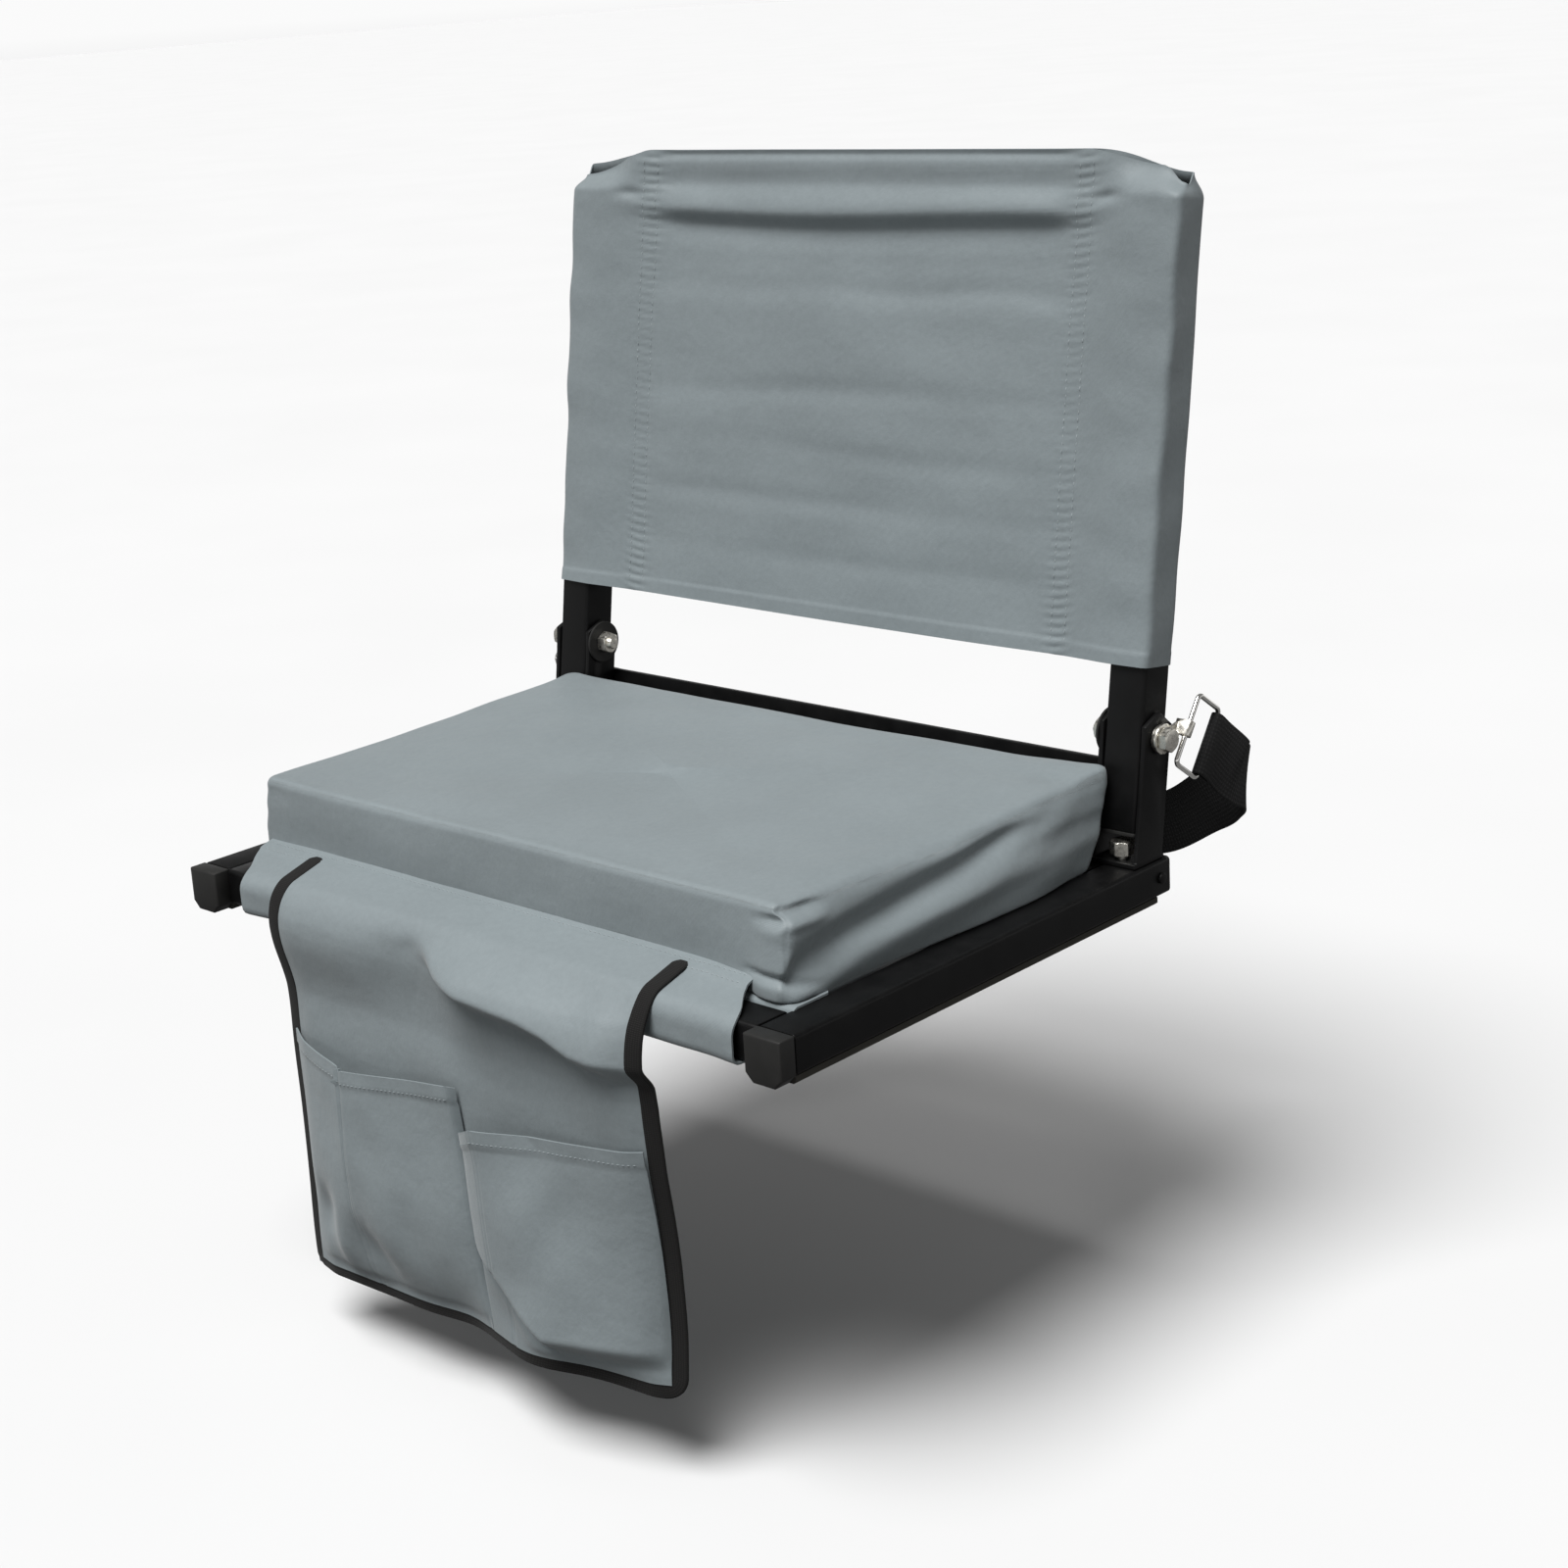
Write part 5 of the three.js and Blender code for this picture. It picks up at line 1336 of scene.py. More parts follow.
@dataclass
class CarryStrap:
    """Two wire rings and the webbing strap that loops round both and hangs on edge behind the seat."""

    wire: float = 1.5
    half_reach: float = 12.5
    half_along: float = 21.5
    ring_corner: float = 3.4
    width: float = 38.0
    thickness: float = 1.8
    tail: float = 26.0
    rear: tuple[float, float] = (170.0, 76.0)
    rise: float = 100.0
    edge_turns: tuple[float, ...] = (0.13, 0.28, 0.35, 0.23)
    rings: tuple[RingPlace, RingPlace] = (RingPlace(1, -9.5, -35.2), RingPlace(-1, -49.5, -75.2))
    right_stops: tuple[Point, ...] = (
        (1.017, 0.697, 0.668), (1.004, 0.872, 0.581), (0.948, 0.966, 0.469), (0.894, 0.941, 0.382),
        (0.811, 0.693, 0.254), (0.623, 0.485, 0.23), (0.165, 0.677, 0.19),
    )
    left_stops: tuple[Point, ...] = (
        (0.4, 0.6, 0.22), (0.7, 0.6, 0.23), (0.86, 0.64, 0.26), (0.94, 0.7, 0.31),
        (0.985, 0.66, 0.36), (1, 0.52, 0.45),
    )

    def ring(self, place: RingPlace, name: str) -> None:
        """A wire bent to a rounded rectangle: a circle carried along it.

        Args:
            place: The ring's place.
            name: Its side, left or right.
        """
        middle, reach, along = place.directions()
        line = rounded_rectangle(self.half_reach, self.half_along, self.ring_corner, 8)
        path = middle + line[:, :1] * reach + line[:, 1:] * along
        ahead = np.roll(path, -1, 0) - np.roll(path, 1, 0)
        ahead /= np.linalg.norm(ahead, axis=1, keepdims=True)
        out = np.broadcast_to([1.0, 0.0, 0.0], path.shape)
        angle = np.linspace(0, 2 * np.pi, 14, endpoint=False)
        circle = self.wire * np.stack([np.cos(angle), np.sin(angle)], -1)
        sketch = Sketch()
        sketch.sweep(path, out, np.cross(ahead, out), circle, loop=True)
        dress(sketch.build(f"{name}_wire_ring", 60), BRIGHT_WIRE, Body.SEAT, (f"{name}_strap_ring",))

    def end(self, place: RingPlace) -> tuple[Array, Array]:
        """Stops of one end: the sewn tail, half a turn round the wire and the strap's start.

        Args:
            place: The ring that this end loops round.

        Returns:
            Points in mm, and the webbing's edge direction at each.
        """
        middle, reach, along = place.directions()
        wire = middle + reach * self.half_reach
        outward = np.array([float(place.side), 0.0, 0.0])
        offset, apart = self.wire + 0.3 + self.thickness / 2, self.thickness + 0.3
        stops = [wire + reach * self.tail - outward * apart, wire + reach * self.tail / 2 - outward * apart]
        for angle in np.linspace(0, np.pi, 6):
            stops.append(wire - outward * offset * math.cos(angle) - reach * offset * math.sin(angle))
        stops.append(wire + reach * self.tail / 2 + outward * apart / 2)
        return np.array(stops), np.broadcast_to(along, (len(stops), 3))

    def route(self, count: int = 420) -> tuple[Array, Array, Array]:
        """The strap's middle line, its edge direction and its heading.

        The stops behind the seat are shares of the rings' plane, of rear and of rise; edge_turns
        leans the webbing's edge from upright at the first of them. Each edge direction is blended
        between stops and squared to the heading, and the line is lifted clear of the bench.

        Args:
            count: Stations along the strap.

        Returns:
            Points, edge directions and face directions.
        """
        first, first_edge = self.end(self.rings[0])
        last, last_edge = self.end(self.rings[1])
        behind = [
            (place.side * a * place.plane, self.rear[0] + b * self.rear[1], c * self.rise)
            for place, shares in zip(self.rings, (self.right_stops, self.left_stops)) for a, b, c in shares
        ]
        stops = np.concatenate([first, behind, last[::-1]])
        turned = np.zeros((len(behind), 1))
        turned[:len(self.edge_turns), 0] = self.edge_turns
        leaning = first_edge[0] * turned + [0.0, 0.0, 1.0] * (1 - turned)
        edges = np.concatenate([first_edge, leaning, last_edge])
        path, k, t = curve_through(stops, count)
        heading = np.gradient(path, axis=0)
        heading /= np.linalg.norm(heading, axis=1, keepdims=True)
        edge = edges[k] * (1 - t) + edges[k + 1] * t
        edge = edge - (edge * heading).sum(1, keepdims=True) * heading
        edge /= np.linalg.norm(edge, axis=1, keepdims=True)
        path[:, 2] += np.maximum(0, 2 + self.width / 2 * np.abs(edge[:, 2]) - path[:, 2])
        return path, edge, np.cross(heading, edge)

    def build(self) -> None:
        """Builds both rings and the strap."""
        for place, name in zip(self.rings, ("right", "left")):
            self.ring(place, name)
        path, edge, face = self.route()
        outline = rounded_rectangle(self.width / 2, self.thickness / 2, 0.85, 4)
        sketch = Sketch()
        sketch.strip(path, edge, face, outline)
        strap = dress(sketch.build("webbing_carry_strap", 50), WEBBING, Body.SEAT, ("carry_strap",))


# Backrest


@dataclass
class Backrest:
    """Two uprights, the stop bar and the canvas back with a sleeve for each upright."""

    recline: float = math.radians(8.7)
    foot: float = 40.9
    top: float = 329.5
    column: float = 173.5
    rows: int = 172
    thickness: float = 1.2
    panel: float = -7.0
    face: float = 13.4
    outer: float = 240.9
    tube_sides: tuple[float, float] = (215.0, 240.0)
    tube_half: float = 12.5
    tube_ends: tuple[float, float] = (-55.1, 300.0)
    tube_corner: float = 2.5
    stop: tuple[Point, Point] = ((-235.0, 12.8, -44.9), (235.0, 17.8, -19.9))
    stop_corner: float = 0.8
    ladder_half: float = 5.0

    def placed(self, points: Array) -> Array:
        """Turns points of the upright's own frame by the recline and sets them on the pivot.

        Args:
            points: Points in mm, with the hinge's axis at the origin and Z along the upright.

        Returns:
            The points in the model's frame, mm.
        """
        x, y, z = points[..., 0], points[..., 1], points[..., 2]
        c, s = math.cos(self.recline), math.sin(self.recline)
        return np.stack([x, PIVOT[0] + y * c + z * s, PIVOT[1] - y * s + z * c], -1)

    def tube(self, node: str, low: Point, high: Point, axis: int, corner: float) -> bpy.types.Object:
        """A bar of the back in its own frame: a rounded rectangle carried along one axis.

        Args:
            node: Name of the CAD node.
            low: Lowest corner, mm.
            high: Highest corner, mm.
            axis: Axis along which the bar runs.
            corner: Radius of its long edges, mm.

        Returns:
            The piece, which replaces the node.
        """
        run, inset = np.array([0, 0.12, 0.4, 20.0]), np.array([0.4, 0.12, 0.0, 0.0])
        points = self.placed(bar_points(np.array(low), np.array(high), axis, corner, run, inset))
        piece = grid_piece(node + "_bar", points, ring=True, capped=True)
        return dress(piece, POWDER_BLACK, Body.BACK, (node,))

    def section(self) -> Array:
        """Plan line of the canvas, with points crowded at the stitched columns and the tubes' corners.

        It runs from the rear hem at the left column round the left upright, across the panel, and
        round the right upright to the hem behind its column.

        Returns:
            Places across and in depth, mm.
        """
        half = [(0.0, self.panel), (self.column, self.panel), (213.0, -self.face), (self.outer, -self.face),
                (self.outer, self.face), (213.0, self.face), (182.0, -4.6), (166.0, -5.7)]
        path = filleted(half, [30.0, 40.0, 3.4, 3.4, 40.0, 30.0])
        run = lengths(path)
        near_column = hump(run, self.column, 13) + hump(run, run[-1] - 8, 10)
        corners = hump(path[:, 0], self.outer, 4)
        crowd = np.interp(np.linspace(0, run[-1], 800), run, 1 + 1.4 * near_column + 1.2 * corners)
        share = np.concatenate([[0], np.cumsum(crowd)])
        where = np.interp(np.linspace(0, share[-1], 112), share, np.linspace(0, run[-1], 801))
        right = at_lengths(path, where)
        left = right[:0:-1] * [-1, 1]
        return np.concatenate([left, right])

    def surface(self) -> Array:
        """Grid of the canvas in the upright's own frame.

        Each row is the plan line. Rows run from the foot to a top edge that is level over the
        panel and falls to the outer corners. On the panel, depth follows a profile through the
        folds' knots by the drop from the top; at each stitched column short puckers run across;
        over the tubes the front layer leans back to the rear one, which closes the sleeve.

        Returns:
            Rows from the foot up by columns along the plan line.
        """
        line = self.section()
        across, depth = line[None, :, 0], line[None, :, 1]
        away = np.abs(across)
        run = lengths(line)
        gone = np.abs(run - run[len(line) // 2])[None]
        half = gone[0, np.argmin(np.abs(line[:, 1]) + (np.abs(line[:, 0]) < self.outer - 1) * 99)]
        front = 1 - ease(gone, half - 12, half + 12)
        low_front = 15.5 * ease(-across, 168, 236) + 9 * ease(across, 170, 226) + 9 * ease(across, 224, 240)
        low_rear = 8 * ease(-across, 175, 238) + 12 * ease(across, 180, 238)
        top = self.top - low_front * front - low_rear * (1 - front) - 3.5 * hump(gone, half, 9)
        share = np.linspace(0, 1, self.rows)[:, None]
        share = share - 0.045 * np.sin(2 * np.pi * share)
        bow = -1.6 * (1 - (across / self.outer) ** 2) * (1 - share) ** 2
        z = self.foot + bow + (top - self.foot) * share
        drop = self.top - z - low_front * ease(share, 0.6, 1.0) + 12 * ease(away, 168, 215)
        panel = 1 - ease(away, 150, 176)
        wide = panel * 0.5 + (1 - ease(away, 172, 212)) * 0.5
        bend = 4.0 * hump(across, -40, 120)
        fold = swell(drop - bend * ease(drop, 20, 40), [-5, 0, 2.5, 8, 20, 34, 46, 62, 100, 400],
                     [0.4, 0.4, -0.6, 0.9, -0.6, 4.0, -3.8, -2.6, 0, 0])
        fold = fold * (1 - 0.4 * ease(away, 135, 180) * ease(drop, 22, 32))
        faint = 0
        for place, lean, tall, centre in ((87, -0.01, 1.3, 90), (149, -0.02, 1.0, -20), (186, 0.01, 0.8, 60),
                                          (217, 0.015, 1.0, -60), (253, 0.0, 0.7, 40)):
            bent = place + lean * across + 2.5 * ripple(across, place, place, 210, 4)
            faint = faint + tall * hump(drop, bent, 7) * (0.35 + 0.65 * hump(across, centre, 110))
        sag = 4.0 * ease(z, 150, self.top) * panel
        y = depth + sag - fold * wide + faint * wide - 0.5 * ripple(across, drop * 1.8, 41, 120) * wide
        pucker = 0.42 * np.cos(2 * np.pi * drop / 5.6) * hump(away, self.column, 8.5)
        groove = 0.55 * (hump(away, self.column - 5, 1.4) + hump(away, self.column + 5, 1.4))
        pinch = 2.4 * hump(drop, 30, 3.6) * hump(away, 190, 10)
        sleeve = ease(away, self.column + 6, 212)
        y = y + front * (pucker + groove + pinch) - front * sleeve * 0.5 * ripple(across + 0.6 * z, z, 51, 55)
        closing = ease(z, 302.6, top) * sleeve
        y = y * (1 - 0.74 * closing)
        side = 0.5 * ripple(z, depth, 61, 70) * hump(away, self.outer, 3)
        side = side + 2.5 * closing * hump(away, self.outer, 12)
        x = across - np.sign(across) * side
        hem = 1 - ease(z, self.foot + 7.2, self.foot + 8.6)
        y = y + (0.5 - 1.1 * front) * hem
        return self.placed(np.stack([np.broadcast_to(x, z.shape), y, z], -1))

    def stitch_rows(self, points: Array) -> list[tuple[Array, Array]]:
        """The two rows at each column, read from the canvas's own grid.

        Args:
            points: Grid of the canvas.

        Returns:
            For each row, its points and the canvas's outward normal.
        """
        line = self.section()
        front = np.flatnonzero(line[:, 1] < self.panel * 0.97)
        normal = self.placed(np.array([0.0, -1.0, 0.0])) - self.placed(np.zeros(3))
        rows = []
        inner, outer = self.column - self.ladder_half, self.column + self.ladder_half
        for place in (-outer, -inner, inner, outer):
            column = front[np.argmin(np.abs(line[front, 0] - place))]
            rows.append((points[6:-6, column] + normal * (self.thickness / 2), normal))
        return rows

    def build(self) -> None:
        """Builds the bars, plugs, rivets, canvas and stitches."""
        for name, side in (("left", -1), ("right", 1)):
            near, far = sorted(side * place for place in self.tube_sides)
            low, high = (near, -self.tube_half, self.tube_ends[0]), (far, self.tube_half, self.tube_ends[1])
            self.tube(f"{name}_upright", low, high, 2, self.tube_corner)
            refined(f"{name}_foot_plug", BLACK_PLASTIC, Body.BACK, 0.5)
            refined(f"{name}_top_plug", BLACK_PLASTIC, Body.BACK, 0.5)
            refined(f"{name}_stop_rivet_upper", POWDER_BLACK, Body.BACK, 0.6)
            refined(f"{name}_stop_rivet_lower", POWDER_BLACK, Body.BACK, 0.6)
        self.tube("stop_bar", *self.stop, 0, self.stop_corner)
        points = self.surface()
        piece = thickened(grid_piece("back_sleeve_canvas", points, 50), self.thickness)
        dress(piece, GREY_CANVAS, Body.BACK, ("back_canvas",))
        stitches = stitched("back_ladder_stitches", self.stitch_rows(points), 4.6, 2.8, Body.BACK, 0.6)


# Pouch


@dataclass
class Pouch:
    """The cloth that hangs from the front bar, its edge tape and its two pockets."""

    left: float = -167.5
    right: float = 150.5
    line: float = -162.4
    drop_left: float = -222.0
    drop_right: float = -211.0
    yoke: tuple[float, float] = (-134.5, 36.9)
    shoulder: tuple[float, float] = (-165.7, 28.1)
    thickness: float = 1.0
    tape_width: float = 11.0
    tape_thickness: float = 2.3
    foot_corner: float = 14.0
    base: Array = field(init=False)

    def __post_init__(self) -> None:
        """Works out the plain section line in Y and Z that every part of the pouch follows."""
        front = (self.shoulder[0], 6.0)
        self.base = filleted([self.yoke, self.shoulder, front, (self.line, -34.0), (self.line, -260.0)],
                             [13.0, 40.0, 40.0], 12)

    def foot(self, x: Array) -> Array:
        """Height of the cut foot at x, a straight slant."""
        share = (x - self.left) / (self.right - self.left)
        return self.drop_left + (self.drop_right - self.drop_left) * share

    def forward(self, x: Array, z: Array) -> Array:
        """How far the cloth stands in front of its plain line.

        Right of the middle it bellies out to a ridge that runs down to the right, and turns in
        below it. The left edge bows a little, and the right edge swings back low down.

        Args:
            x: Places across, mm.
            z: Heights, mm.

        Returns:
            Distance towards the front, mm.
        """
        ridge = np.interp(x, [-60, -45, -27, -9, 20, 66, 88, 107, 139, 152],
                          [26, 25, 22, 12, 7, 4, 0, -7, -9, -9])
        edges = ease(x, 120, 149) * 0.5
        reach = 23.0 * ease(x, -48, 22) * (1 - edges)
        rise = np.clip((29 - z) / np.maximum(29 - ridge, 4), 0, 1)
        belly = reach * (0.45 * np.sin(np.pi / 2 * rise) + 0.55 * rise)
        belly = belly * (1 - 0.62 * ease(ridge - z, 0, 15) - 0.3 * ease(ridge - z, 12, 60))
        belly = belly - 1.3 * hump(x - 0.8 * (z - 20), -38, 9) * hump(z, 21, 10)
        bow = 7.5 * (1 - ease(x, -110, -20)) * hump(z, 3, 29) * (1 - 0.35 * ease(-x, 145, 165))
        full = 4.5 * ease(x, -166, -140) * (1 - ease(x, 128, 150)) * ease(-z, 5, 60)
        swing = 7.0 * ease(x, 60, 150) * ease(-z, 62, 135) * (1 - 0.35 * ease(-z, 170, 222))
        foot = 8.5 * hump(x, 46, 28) * ease(-z, 150, 214) - 3.0 * hump(x, -18, 24) * ease(-z, 165, 214)
        waves = 0.6 * ripple(x, z, 71, 80) * ease(-z, -10, 20)
        return belly + bow + full - swing + foot + waves

    def cloth(self, x: Array, s: Array) -> Array:
        """Points of the cloth at x and at the distance s down its section line.

        Args:
            x: Places across, mm.
            s: Distances down the section line, mm.

        Returns:
            The points, mm.
        """
        along = lengths(self.base)
        y, z = np.interp(s, along, self.base[:, 0]), np.interp(s, along, self.base[:, 1])
        hung = ease(s, along[1] + 2, along[1] + 24)
        return np.stack(np.broadcast_arrays(x, y - hung * self.forward(x, z), z), -1)

    def depth_at(self, z: Array) -> Array:
        """Distance down the section line at which it reaches the height z."""
        return np.interp(-z, -self.base[:, 1], lengths(self.base))

    def normals(self, x: Array, s: Array) -> Array:
        """Unit normals of the cloth, towards the front, from small steps in x and s.

        Args:
            x: Places across, mm.
            s: Distances down the section line, mm.

        Returns:
            The normals.
        """
        step = 0.5
        across = self.cloth(x + step, s) - self.cloth(x - step, s)
        down = self.cloth(x, s + step) - self.cloth(x, s - step)
        out = np.cross(across, -down)
        out /= np.linalg.norm(out, axis=-1, keepdims=True)
        return out

    def panel(self) -> bpy.types.Object:
        """The cloth itself, from the yoke's upper edge to the foot.

        Returns:
            The piece.
        """
        u = np.linspace(0, 1, 150)[None]
        v = np.linspace(0, 1, 175)[:, None]
        x = self.left + 1.2 + (self.right - self.left - 2.4) * u
        end = self.depth_at(self.foot(x) + 1.5)
        corner = ease(x, self.right - self.foot_corner, self.right) ** 2 * self.foot_corner * 0.9
        return thickened(grid_piece("pouch_cloth", self.cloth(x, v * (end - corner)), 50), self.thickness)

    def tape(self) -> bpy.types.Object:
        """Binding folded over the cloth's edge: a flat oval carried along the edge, 5 mm inside it.

        Returns:
            The piece.
        """
        inset = self.tape_width / 2 - 0.3
        left, right = self.left + inset, self.right - inset
        low_left = float(self.depth_at(np.array(self.foot(np.array(left)) + inset + 0.3)))
        low_right = float(self.depth_at(np.array(self.foot(np.array(right)) + inset + 0.3)))
        edge = filleted([(left, -2.0), (left, low_left), (right, low_right), (right, -2.0)], [3.0, 9.5], 8)
        edge = at_lengths(edge, np.arange(0, lengths(edge)[-1], 1.9))
        path = self.cloth(edge[:, 0], edge[:, 1])
        past = np.minimum(edge[:, 1], 0)
        path[:, 1] -= past * 0.96
        path[:, 2] -= past * 0.27
        out = self.normals(edge[:, 0], np.maximum(edge[:, 1], 0.6))
        ahead = np.gradient(path, axis=0)
        ahead /= np.linalg.norm(ahead, axis=1, keepdims=True)
        side = np.cross(ahead, out)
        side /= np.linalg.norm(side, axis=1, keepdims=True)
        out = np.cross(side, ahead)
        outline = rounded_rectangle(self.tape_width / 2, self.tape_thickness / 2, 1.1, 4)
        tips = np.minimum(np.arange(len(path)), np.arange(len(path))[::-1])
        taper = np.sqrt(np.clip((tips + 0.6) / 2.5, 0, 1))[:, None, None]
        sketch = Sketch()
        sketch.strip(path, side, out, outline, taper)
        return sketch.build("pouch_edge_tape", 50)

    def pocket(self, name: str, top: list[Point], foot: list[Point], radii: list[float],
               belly: Callable[..., Array]) -> tuple[bpy.types.Object, Array]:
        """A pocket's cloth between its mouth's plan line and its foot's.

        Rows blend from the mouth's line to the foot's, and the depth in front of the panel
        follows the belly function.

        Args:
            name: Name of the piece.
            top: Corners of the mouth's line: x, distance in front of the panel and z.
            foot: Corners of the foot's line, in the same order.
            radii: Fillet radii of the inner corners.
            belly: Function of the share across, the share down, the mouth's distance, x and z.

        Returns:
            The piece and the grid of its points.
        """
        count = 110
        mouth = filleted(top, radii, 5)
        marks = lengths(mouth) / lengths(mouth)[-1]
        u = np.unique(np.concatenate([np.linspace(0, 1, count), marks]))
        upper = at_lengths(mouth, u * lengths(mouth)[-1])[None]
        corners = lengths(np.array(top)) / lengths(np.array(top))[-1]
        lower = np.stack([np.interp(u, corners, [p[k] for p in foot]) for k in range(3)], -1)[None]
        v = np.linspace(0, 1, 74)[:, None]
        x = upper[..., 0] * (1 - v) + lower[..., 0] * v
        z = upper[..., 2] * (1 - v) + lower[..., 2] * v
        stand = belly(u[None], v, upper[..., 1], x, z)
        stand = stand + 0.8 * (1 - ease(v * (upper[..., 2] - lower[..., 2]), 9.0, 10.5))
        points = np.stack([x, self.line - self.forward(x, z) - 1.15 - stand, z], -1)
        return thickened(grid_piece(name, points, 50), self.thickness), points

    def left_belly(self, u: Array, v: Array, mouth: Array, x: Array, z: Array) -> Array:
        """Depth of the left pocket: open at the mouth, full in the middle, drawn in at the foot.

        Args:
            u: Share across.
            v: Share down.
            mouth: Distance of the mouth's line in front of the panel, mm.
            x: Places across, mm.
            z: Heights, mm.

        Returns:
            Distance in front of the panel, mm.
        """
        middle = 17.0 * np.sin(np.pi * u) ** 0.7 * np.sin(np.pi * np.clip(v, 0, 1) ** 1.75)
        stand = mouth * (1 - ease(v, 0.05, 0.8)) + middle
        stand = stand - 8.0 * hump(x + 0.3 * (z + 184), -86, 15) * hump(z, -184, 20)
        stand = stand - 6.0 * hump(x - 0.3 * (z + 172), -136, 13) * hump(z, -170, 18)
        stand = stand + 3.0 * hump(x, -116, 9) * hump(z, -188, 22)
        stand = stand + 0.6 * ripple(x, z, 81, 50) * np.sin(np.pi * u)
        return np.maximum(stand * (1 - ease(v, 0.93, 1.0)) + 0.1, 0.1)

    def right_belly(self, u: Array, v: Array, mouth: Array, x: Array, z: Array) -> Array:
        """Depth of the right pocket: it bulges to a crease low down and tucks in under it.

        Args:
            u: Share across.
            v: Share down.
            mouth: Distance of the mouth's line in front of the panel, mm.
            x: Places across, mm.
            z: Heights, mm.

        Returns:
            Distance in front of the panel, mm.
        """
        across = np.sin(np.pi * np.clip(u, 0, 1)) ** 0.55
        crease = np.interp(x, [6, 28, 48, 68, 102, 140], [-158, -166, -180, -193, -190, -187])
        over = z - crease
        low = 17.0 * ease(over, -9, 7) * (1 - np.clip(over / 118, 0, 1) ** 1.3) + 3.2 * hump(over, -15, 9)
        stand = mouth * (1 - v) ** 1.4 + across * low
        stand = stand + 2.0 * hump(x - 0.5 * (z + 120), 60, 16) * across * hump(z, -110, 40)
        stand = stand + 0.5 * ripple(x, z, 91, 48) * across
        return np.maximum(stand * (1 - ease(v, 0.95, 1.0)) + 0.1, 0.1)

    def pockets(self) -> None:
        """Both pockets and the stitches under their mouths."""
        def low(x: float, up: float = 7.0) -> float:
            """Height of a pocket's foot at x, by up above the cloth's cut foot."""
            return float(self.foot(np.array(x))) + up

        start, end = self.left + 8.5, self.right - 9
        left_top = [(start, 0.6, -61), (-99, 14.2, -67), (-106, 17.0, -68.5), (-11, 5.5, -58.5),
                    (-8, 0.5, -60.5)]
        left_foot = [(x, 0.2, low(x)) for x in (start, -98, -97.6, 3, 5.5)]
        right_top = [(-8, 0.5, -88), (19, 12.4, -73.5), (end, 2.2, -60)]
        right_foot = [(6.5, 0.2, low(6.5)), (30, 0.2, low(30)), (end, 0.2, low(end, 9.0))]
        left, left_grid = self.pocket("left_pocket_cloth", left_top, left_foot, [1.0, 1.2, 1.0],
                                      self.left_belly)
        right, right_grid = self.pocket("right_pocket_cloth", right_top, right_foot, [5.0], self.right_belly)
        normal = np.array([0.0, -1.0, 0.2])
        rows = [(grid[4][3:-3] - [0.0, self.thickness / 2, 0.0], normal) for grid in (left_grid, right_grid)]
        stitches = stitched("pocket_hem_stitches", rows, 3.4, 2.3, Body.POUCH, 0.5)
        for name, piece, grid in (("left_pocket", left, left_grid), ("right_pocket", right, right_grid)):
            dress(piece, GREY_CANVAS, Body.POUCH, (name,))

    def build(self) -> None:
        """Builds the cloth and the tape, which ride on no body, and the pockets."""
        cloth = dress(self.panel(), GREY_CANVAS, None, ("pouch_yoke", "pouch_panel"))
        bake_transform(cloth)
        bindings = ("left_yoke_binding", "right_yoke_binding", "pouch_binding")
        tape = dress(self.tape(), EDGE_TAPE, None, bindings)
        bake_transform(tape)
        self.pockets()


# Studio


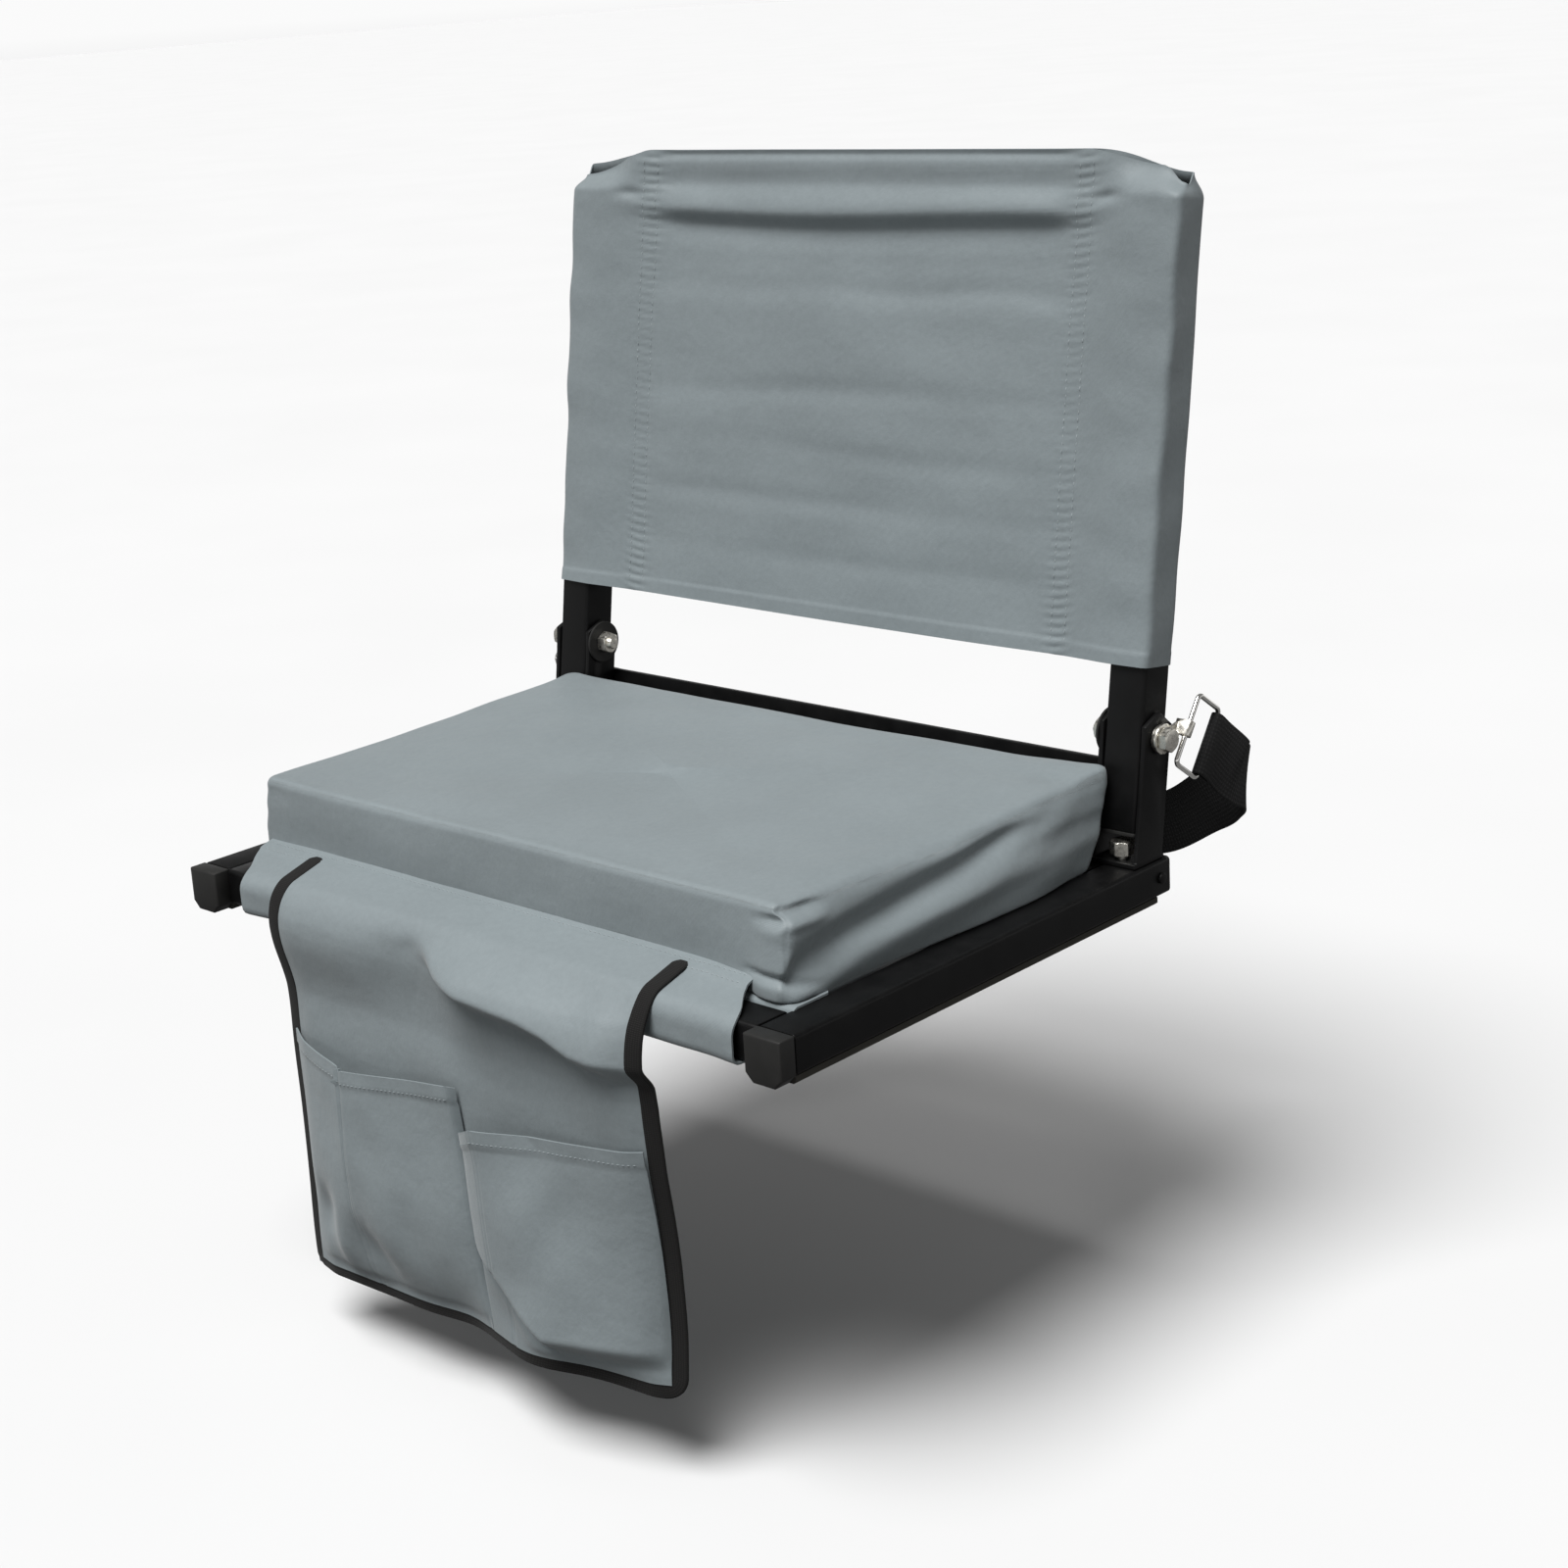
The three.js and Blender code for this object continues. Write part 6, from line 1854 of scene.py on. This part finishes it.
@dataclass
class Studio:
    """Camera at the photograph's place, a pale floor and soft white light."""

    eye: Point = (1.0923832, -1.0690664, 0.5411636)
    azimuth: float = 0.7805
    elevation: float = 0.282
    roll: float = -0.0676
    focal: float = 2743.4463
    centre: tuple[float, float] = (-88.9307, -40.0786)
    picture: float = 1600.0
    floor: float = -0.262
    paper: float = 0.62
    horizon: float = 0.96
    dome: float = 0.18
    below: float = 0.2
    band: tuple[float, float] = (0.06, 0.24)

    def camera(self) -> None:
        """Sets the camera: its back direction from azimuth and elevation, then rolled."""
        a, e = self.azimuth, self.elevation
        back = np.array([math.sin(a) * math.cos(e), -math.cos(a) * math.cos(e), math.sin(e)])
        right = np.cross(-back, [0, 0, 1.0])
        right /= np.linalg.norm(right)
        up = np.cross(right, -back)
        c, s = math.cos(self.roll), math.sin(self.roll)
        right, up = c * right + s * up, -s * right + c * up
        data = bpy.data.cameras.new("photo_camera")
        data.sensor_width = 36.0
        data.lens = self.focal / self.picture * data.sensor_width
        data.shift_x = -self.centre[0] / self.picture
        data.shift_y = self.centre[1] / self.picture
        data.clip_start, data.clip_end = 0.05, 120.0
        camera = bpy.data.objects.new("photo_camera", data)
        turn = np.eye(4)
        turn[:3, 0], turn[:3, 1], turn[:3, 2], turn[:3, 3] = right, up, back, self.eye
        camera.matrix_world = Matrix(turn.tolist())
        bpy.context.scene.collection.objects.link(camera)
        bpy.context.scene.camera = camera

    def sun(self, towards: Point, power: float, spread: float) -> None:
        """A wide soft light from a direction; spread is the angle that it fills, radians.

        Args:
            towards: Direction from the seat to the light.
            power: Its strength.
            spread: Angle that it fills, radians.
        """
        data = bpy.data.lights.new("key", "SUN")
        data.energy, data.angle = power, spread
        lamp = bpy.data.objects.new("key", data)
        back = np.array(towards) / np.linalg.norm(towards)
        right = np.cross([0.0, 1.0, 0.0], back)
        right /= np.linalg.norm(right)
        turn = np.eye(4)
        turn[:3, 0], turn[:3, 1], turn[:3, 2] = right, np.cross(back, right), back
        lamp.matrix_world = Matrix(turn.tolist())
        bpy.context.scene.collection.objects.link(lamp)

    def sky(self) -> None:
        """White surroundings: a bright band at the horizon under a dimmer dome."""
        world = bpy.context.scene.world or bpy.data.worlds.new("studio")
        bpy.context.scene.world = world
        world.use_nodes = True
        nodes = Nodes(world.node_tree)
        height = nodes.add("SeparateXYZ", {0: nodes.add("TexCoord").outputs["Generated"]}).outputs["Z"]
        low, high = self.band
        limits = {"From Min": low, "From Max": high, "To Min": self.horizon, "To Max": self.dome}
        fade = nodes.add("MapRange", {"Value": height, **limits}, interpolation_type="SMOOTHSTEP")
        limits = {"From Min": -0.12, "From Max": -0.01, "To Min": self.below, "To Max": 1.0}
        under = nodes.add("MapRange", {"Value": height, **limits})
        product = nodes.add("Math", {0: fade.outputs[0], 1: under.outputs[0]}, operation="MULTIPLY")
        nodes.feed(nodes.tree.nodes["Background"], {"Strength": product.outputs[0], "Color": (1, 1, 1, 1)})

    def build(self) -> None:
        """Builds the camera, the floor, the surroundings and the key light."""
        self.camera()
        corners = np.array([[[-40.0, -40], [40, -40]], [[-40, 40], [40, 40]]]) / MM
        floor = grid_piece("studio_floor", np.concatenate([corners, np.full((2, 2, 1), self.floor / MM)], -1))
        shader = Shader("pale_floor_paper")
        shader.colour((self.paper, self.paper, self.paper), shader.noise(shader.place(False), 400), 0.01)
        shader.feed(shader.surface, {"Roughness": 0.9, "Specular IOR Level": 0.05})
        floor.data.materials.append(shader.material)
        floor.visible_diffuse = floor.visible_glossy = False
        self.sky()
        self.sun((0.03, -0.42, 0.9), 4.7, 0.6)
        bpy.context.scene.view_settings.view_transform = "Standard"


def paint_frame() -> None:
    """Gives every CAD node that still shows, or lies hidden inside, its slot's finish."""
    slots = {part["node"]: part["material_slot"] for part in frame["record"]["subparts"]}
    for name, node in frame["nodes"].items():
        node.data.materials.clear()
        node.data.materials.append(FINISHES[slots[name]].material())


def main() -> None:
    """Builds the studio, gives the frame's nodes their finishes and builds the sub-assemblies in order."""
    logging.basicConfig(level=logging.INFO, format="%(message)s")
    Studio().build()
    paint_frame()
    for assembly in (RailFrame(), SeatSling(), BoxCushion(), HingeSet(), CarryStrap(), Backrest(), Pouch()):
        assembly.build()
        log.info("%s done", type(assembly).__name__)


if __name__ == "__main__":
    main()
